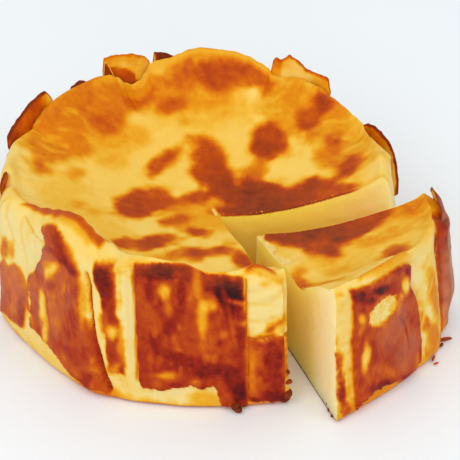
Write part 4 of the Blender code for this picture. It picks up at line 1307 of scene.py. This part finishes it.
CAMERA_PLACE = (0.0, -0.5191, 0.3912)
CAMERA_TILT = (54.541, 0.0, -1.054)
CAMERA_LENS = 138.43
SENSOR_WIDTH = 36.0
FLOOR_HALF = 3.0
FLOOR_DROP = 0.0002
WORLD_COLOUR = (0.98, 1.0, 1.0, 1.0)
WORLD_STRENGTH = 0.79
LIGHT_AIM = Vector((0, 0, 0.03))
# Soft lights: name, place in metres, width in metres, watts.
LIGHTS = (
    ("overhead", (-0.45, -0.35, 0.85), 0.5, 1.1), ("front_left", (-0.6, -0.9, 0.7), 0.6, 1.1),
    ("right", (0.6, -0.35, 0.8), 0.5, 1.1), ("front", (0.0, -1.1, 0.45), 0.6, 1.6),
)


def add_camera():
    camera = linked("camera", bpy.data.cameras.new("camera"))
    camera.data.lens = CAMERA_LENS
    camera.data.sensor_width = SENSOR_WIDTH
    camera.location = CAMERA_PLACE
    camera.rotation_euler = [math.radians(part) for part in CAMERA_TILT]
    bpy.context.scene.camera = camera


def add_light(name, place, size, power):
    light = linked(name, bpy.data.lights.new(name, "AREA"))
    light.data.shape = "DISK"
    light.data.size = size
    light.data.energy = power
    light.location = place
    light.rotation_euler = (Vector(place) - LIGHT_AIM).to_track_quat("Z", "Y").to_euler()


def add_floor():
    mesh = bpy.data.meshes.new("floor")
    corners = [(x * FLOOR_HALF, y * FLOOR_HALF, 0) for x, y in ((-1, -1), (1, -1), (1, 1), (-1, 1))]
    mesh.from_pydata(corners, [], [(0, 1, 2, 3)])
    mesh.materials.append(floor_material())
    floor = linked("floor", mesh)
    floor.location.z = -FLOOR_DROP


def light_scene():
    world = bpy.data.worlds.new("world")
    bpy.context.scene.world = world
    world.use_nodes = True
    background = world.node_tree.nodes["Background"]
    background.inputs["Color"].default_value = WORLD_COLOUR
    background.inputs["Strength"].default_value = WORLD_STRENGTH
    for row in LIGHTS:
        add_light(*row)
    bpy.context.scene.view_settings.view_transform = "Standard"


def place_slice(piece):
    """Moves a piece made in the uncut cake's place to where the slice was drawn out to."""
    piece.data.transform(Matrix.Translation([part * MM for part in SLICE_SHIFT])
                         @ Matrix.Rotation(math.radians(SLICE_TURN), 4, "Z"))


def main():
    skin, crumb = crust_material(), crumb_material()
    body = cake_piece("body", WEDGE_END, 360 + WEDGE_START, BODY_COLUMNS, TOP_SPOTS, [skin, crumb])
    wedge = cake_piece("slice", WEDGE_START, WEDGE_END, SLICE_COLUMNS, SLICE_SPOTS, [skin, crumb])
    rim_fins = fin_piece("rim_fins", FINS, [skin])
    slice_fin = fin_piece("slice_fin", SLICE_FINS, [skin])
    dark_crumbs = lump_piece("burnt_crumbs", CRUMBS, 2, 0.0, [skin])
    body_crumbs = lump_piece("crumbs_on_the_cut", edge_crumbs(0), 1, 1.0, [skin])
    slice_crumbs = lump_piece("crumbs_on_the_slice", edge_crumbs(1), 1, 1.0, [skin])
    for piece in (wedge, slice_fin, slice_crumbs):
        place_slice(piece)
    for piece in (body, wedge, rim_fins, slice_fin, dark_crumbs, body_crumbs, slice_crumbs):
        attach(piece, "root")
    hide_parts("cake_body")
    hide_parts("cake_slice")
    add_floor()
    add_camera()
    light_scene()


main()
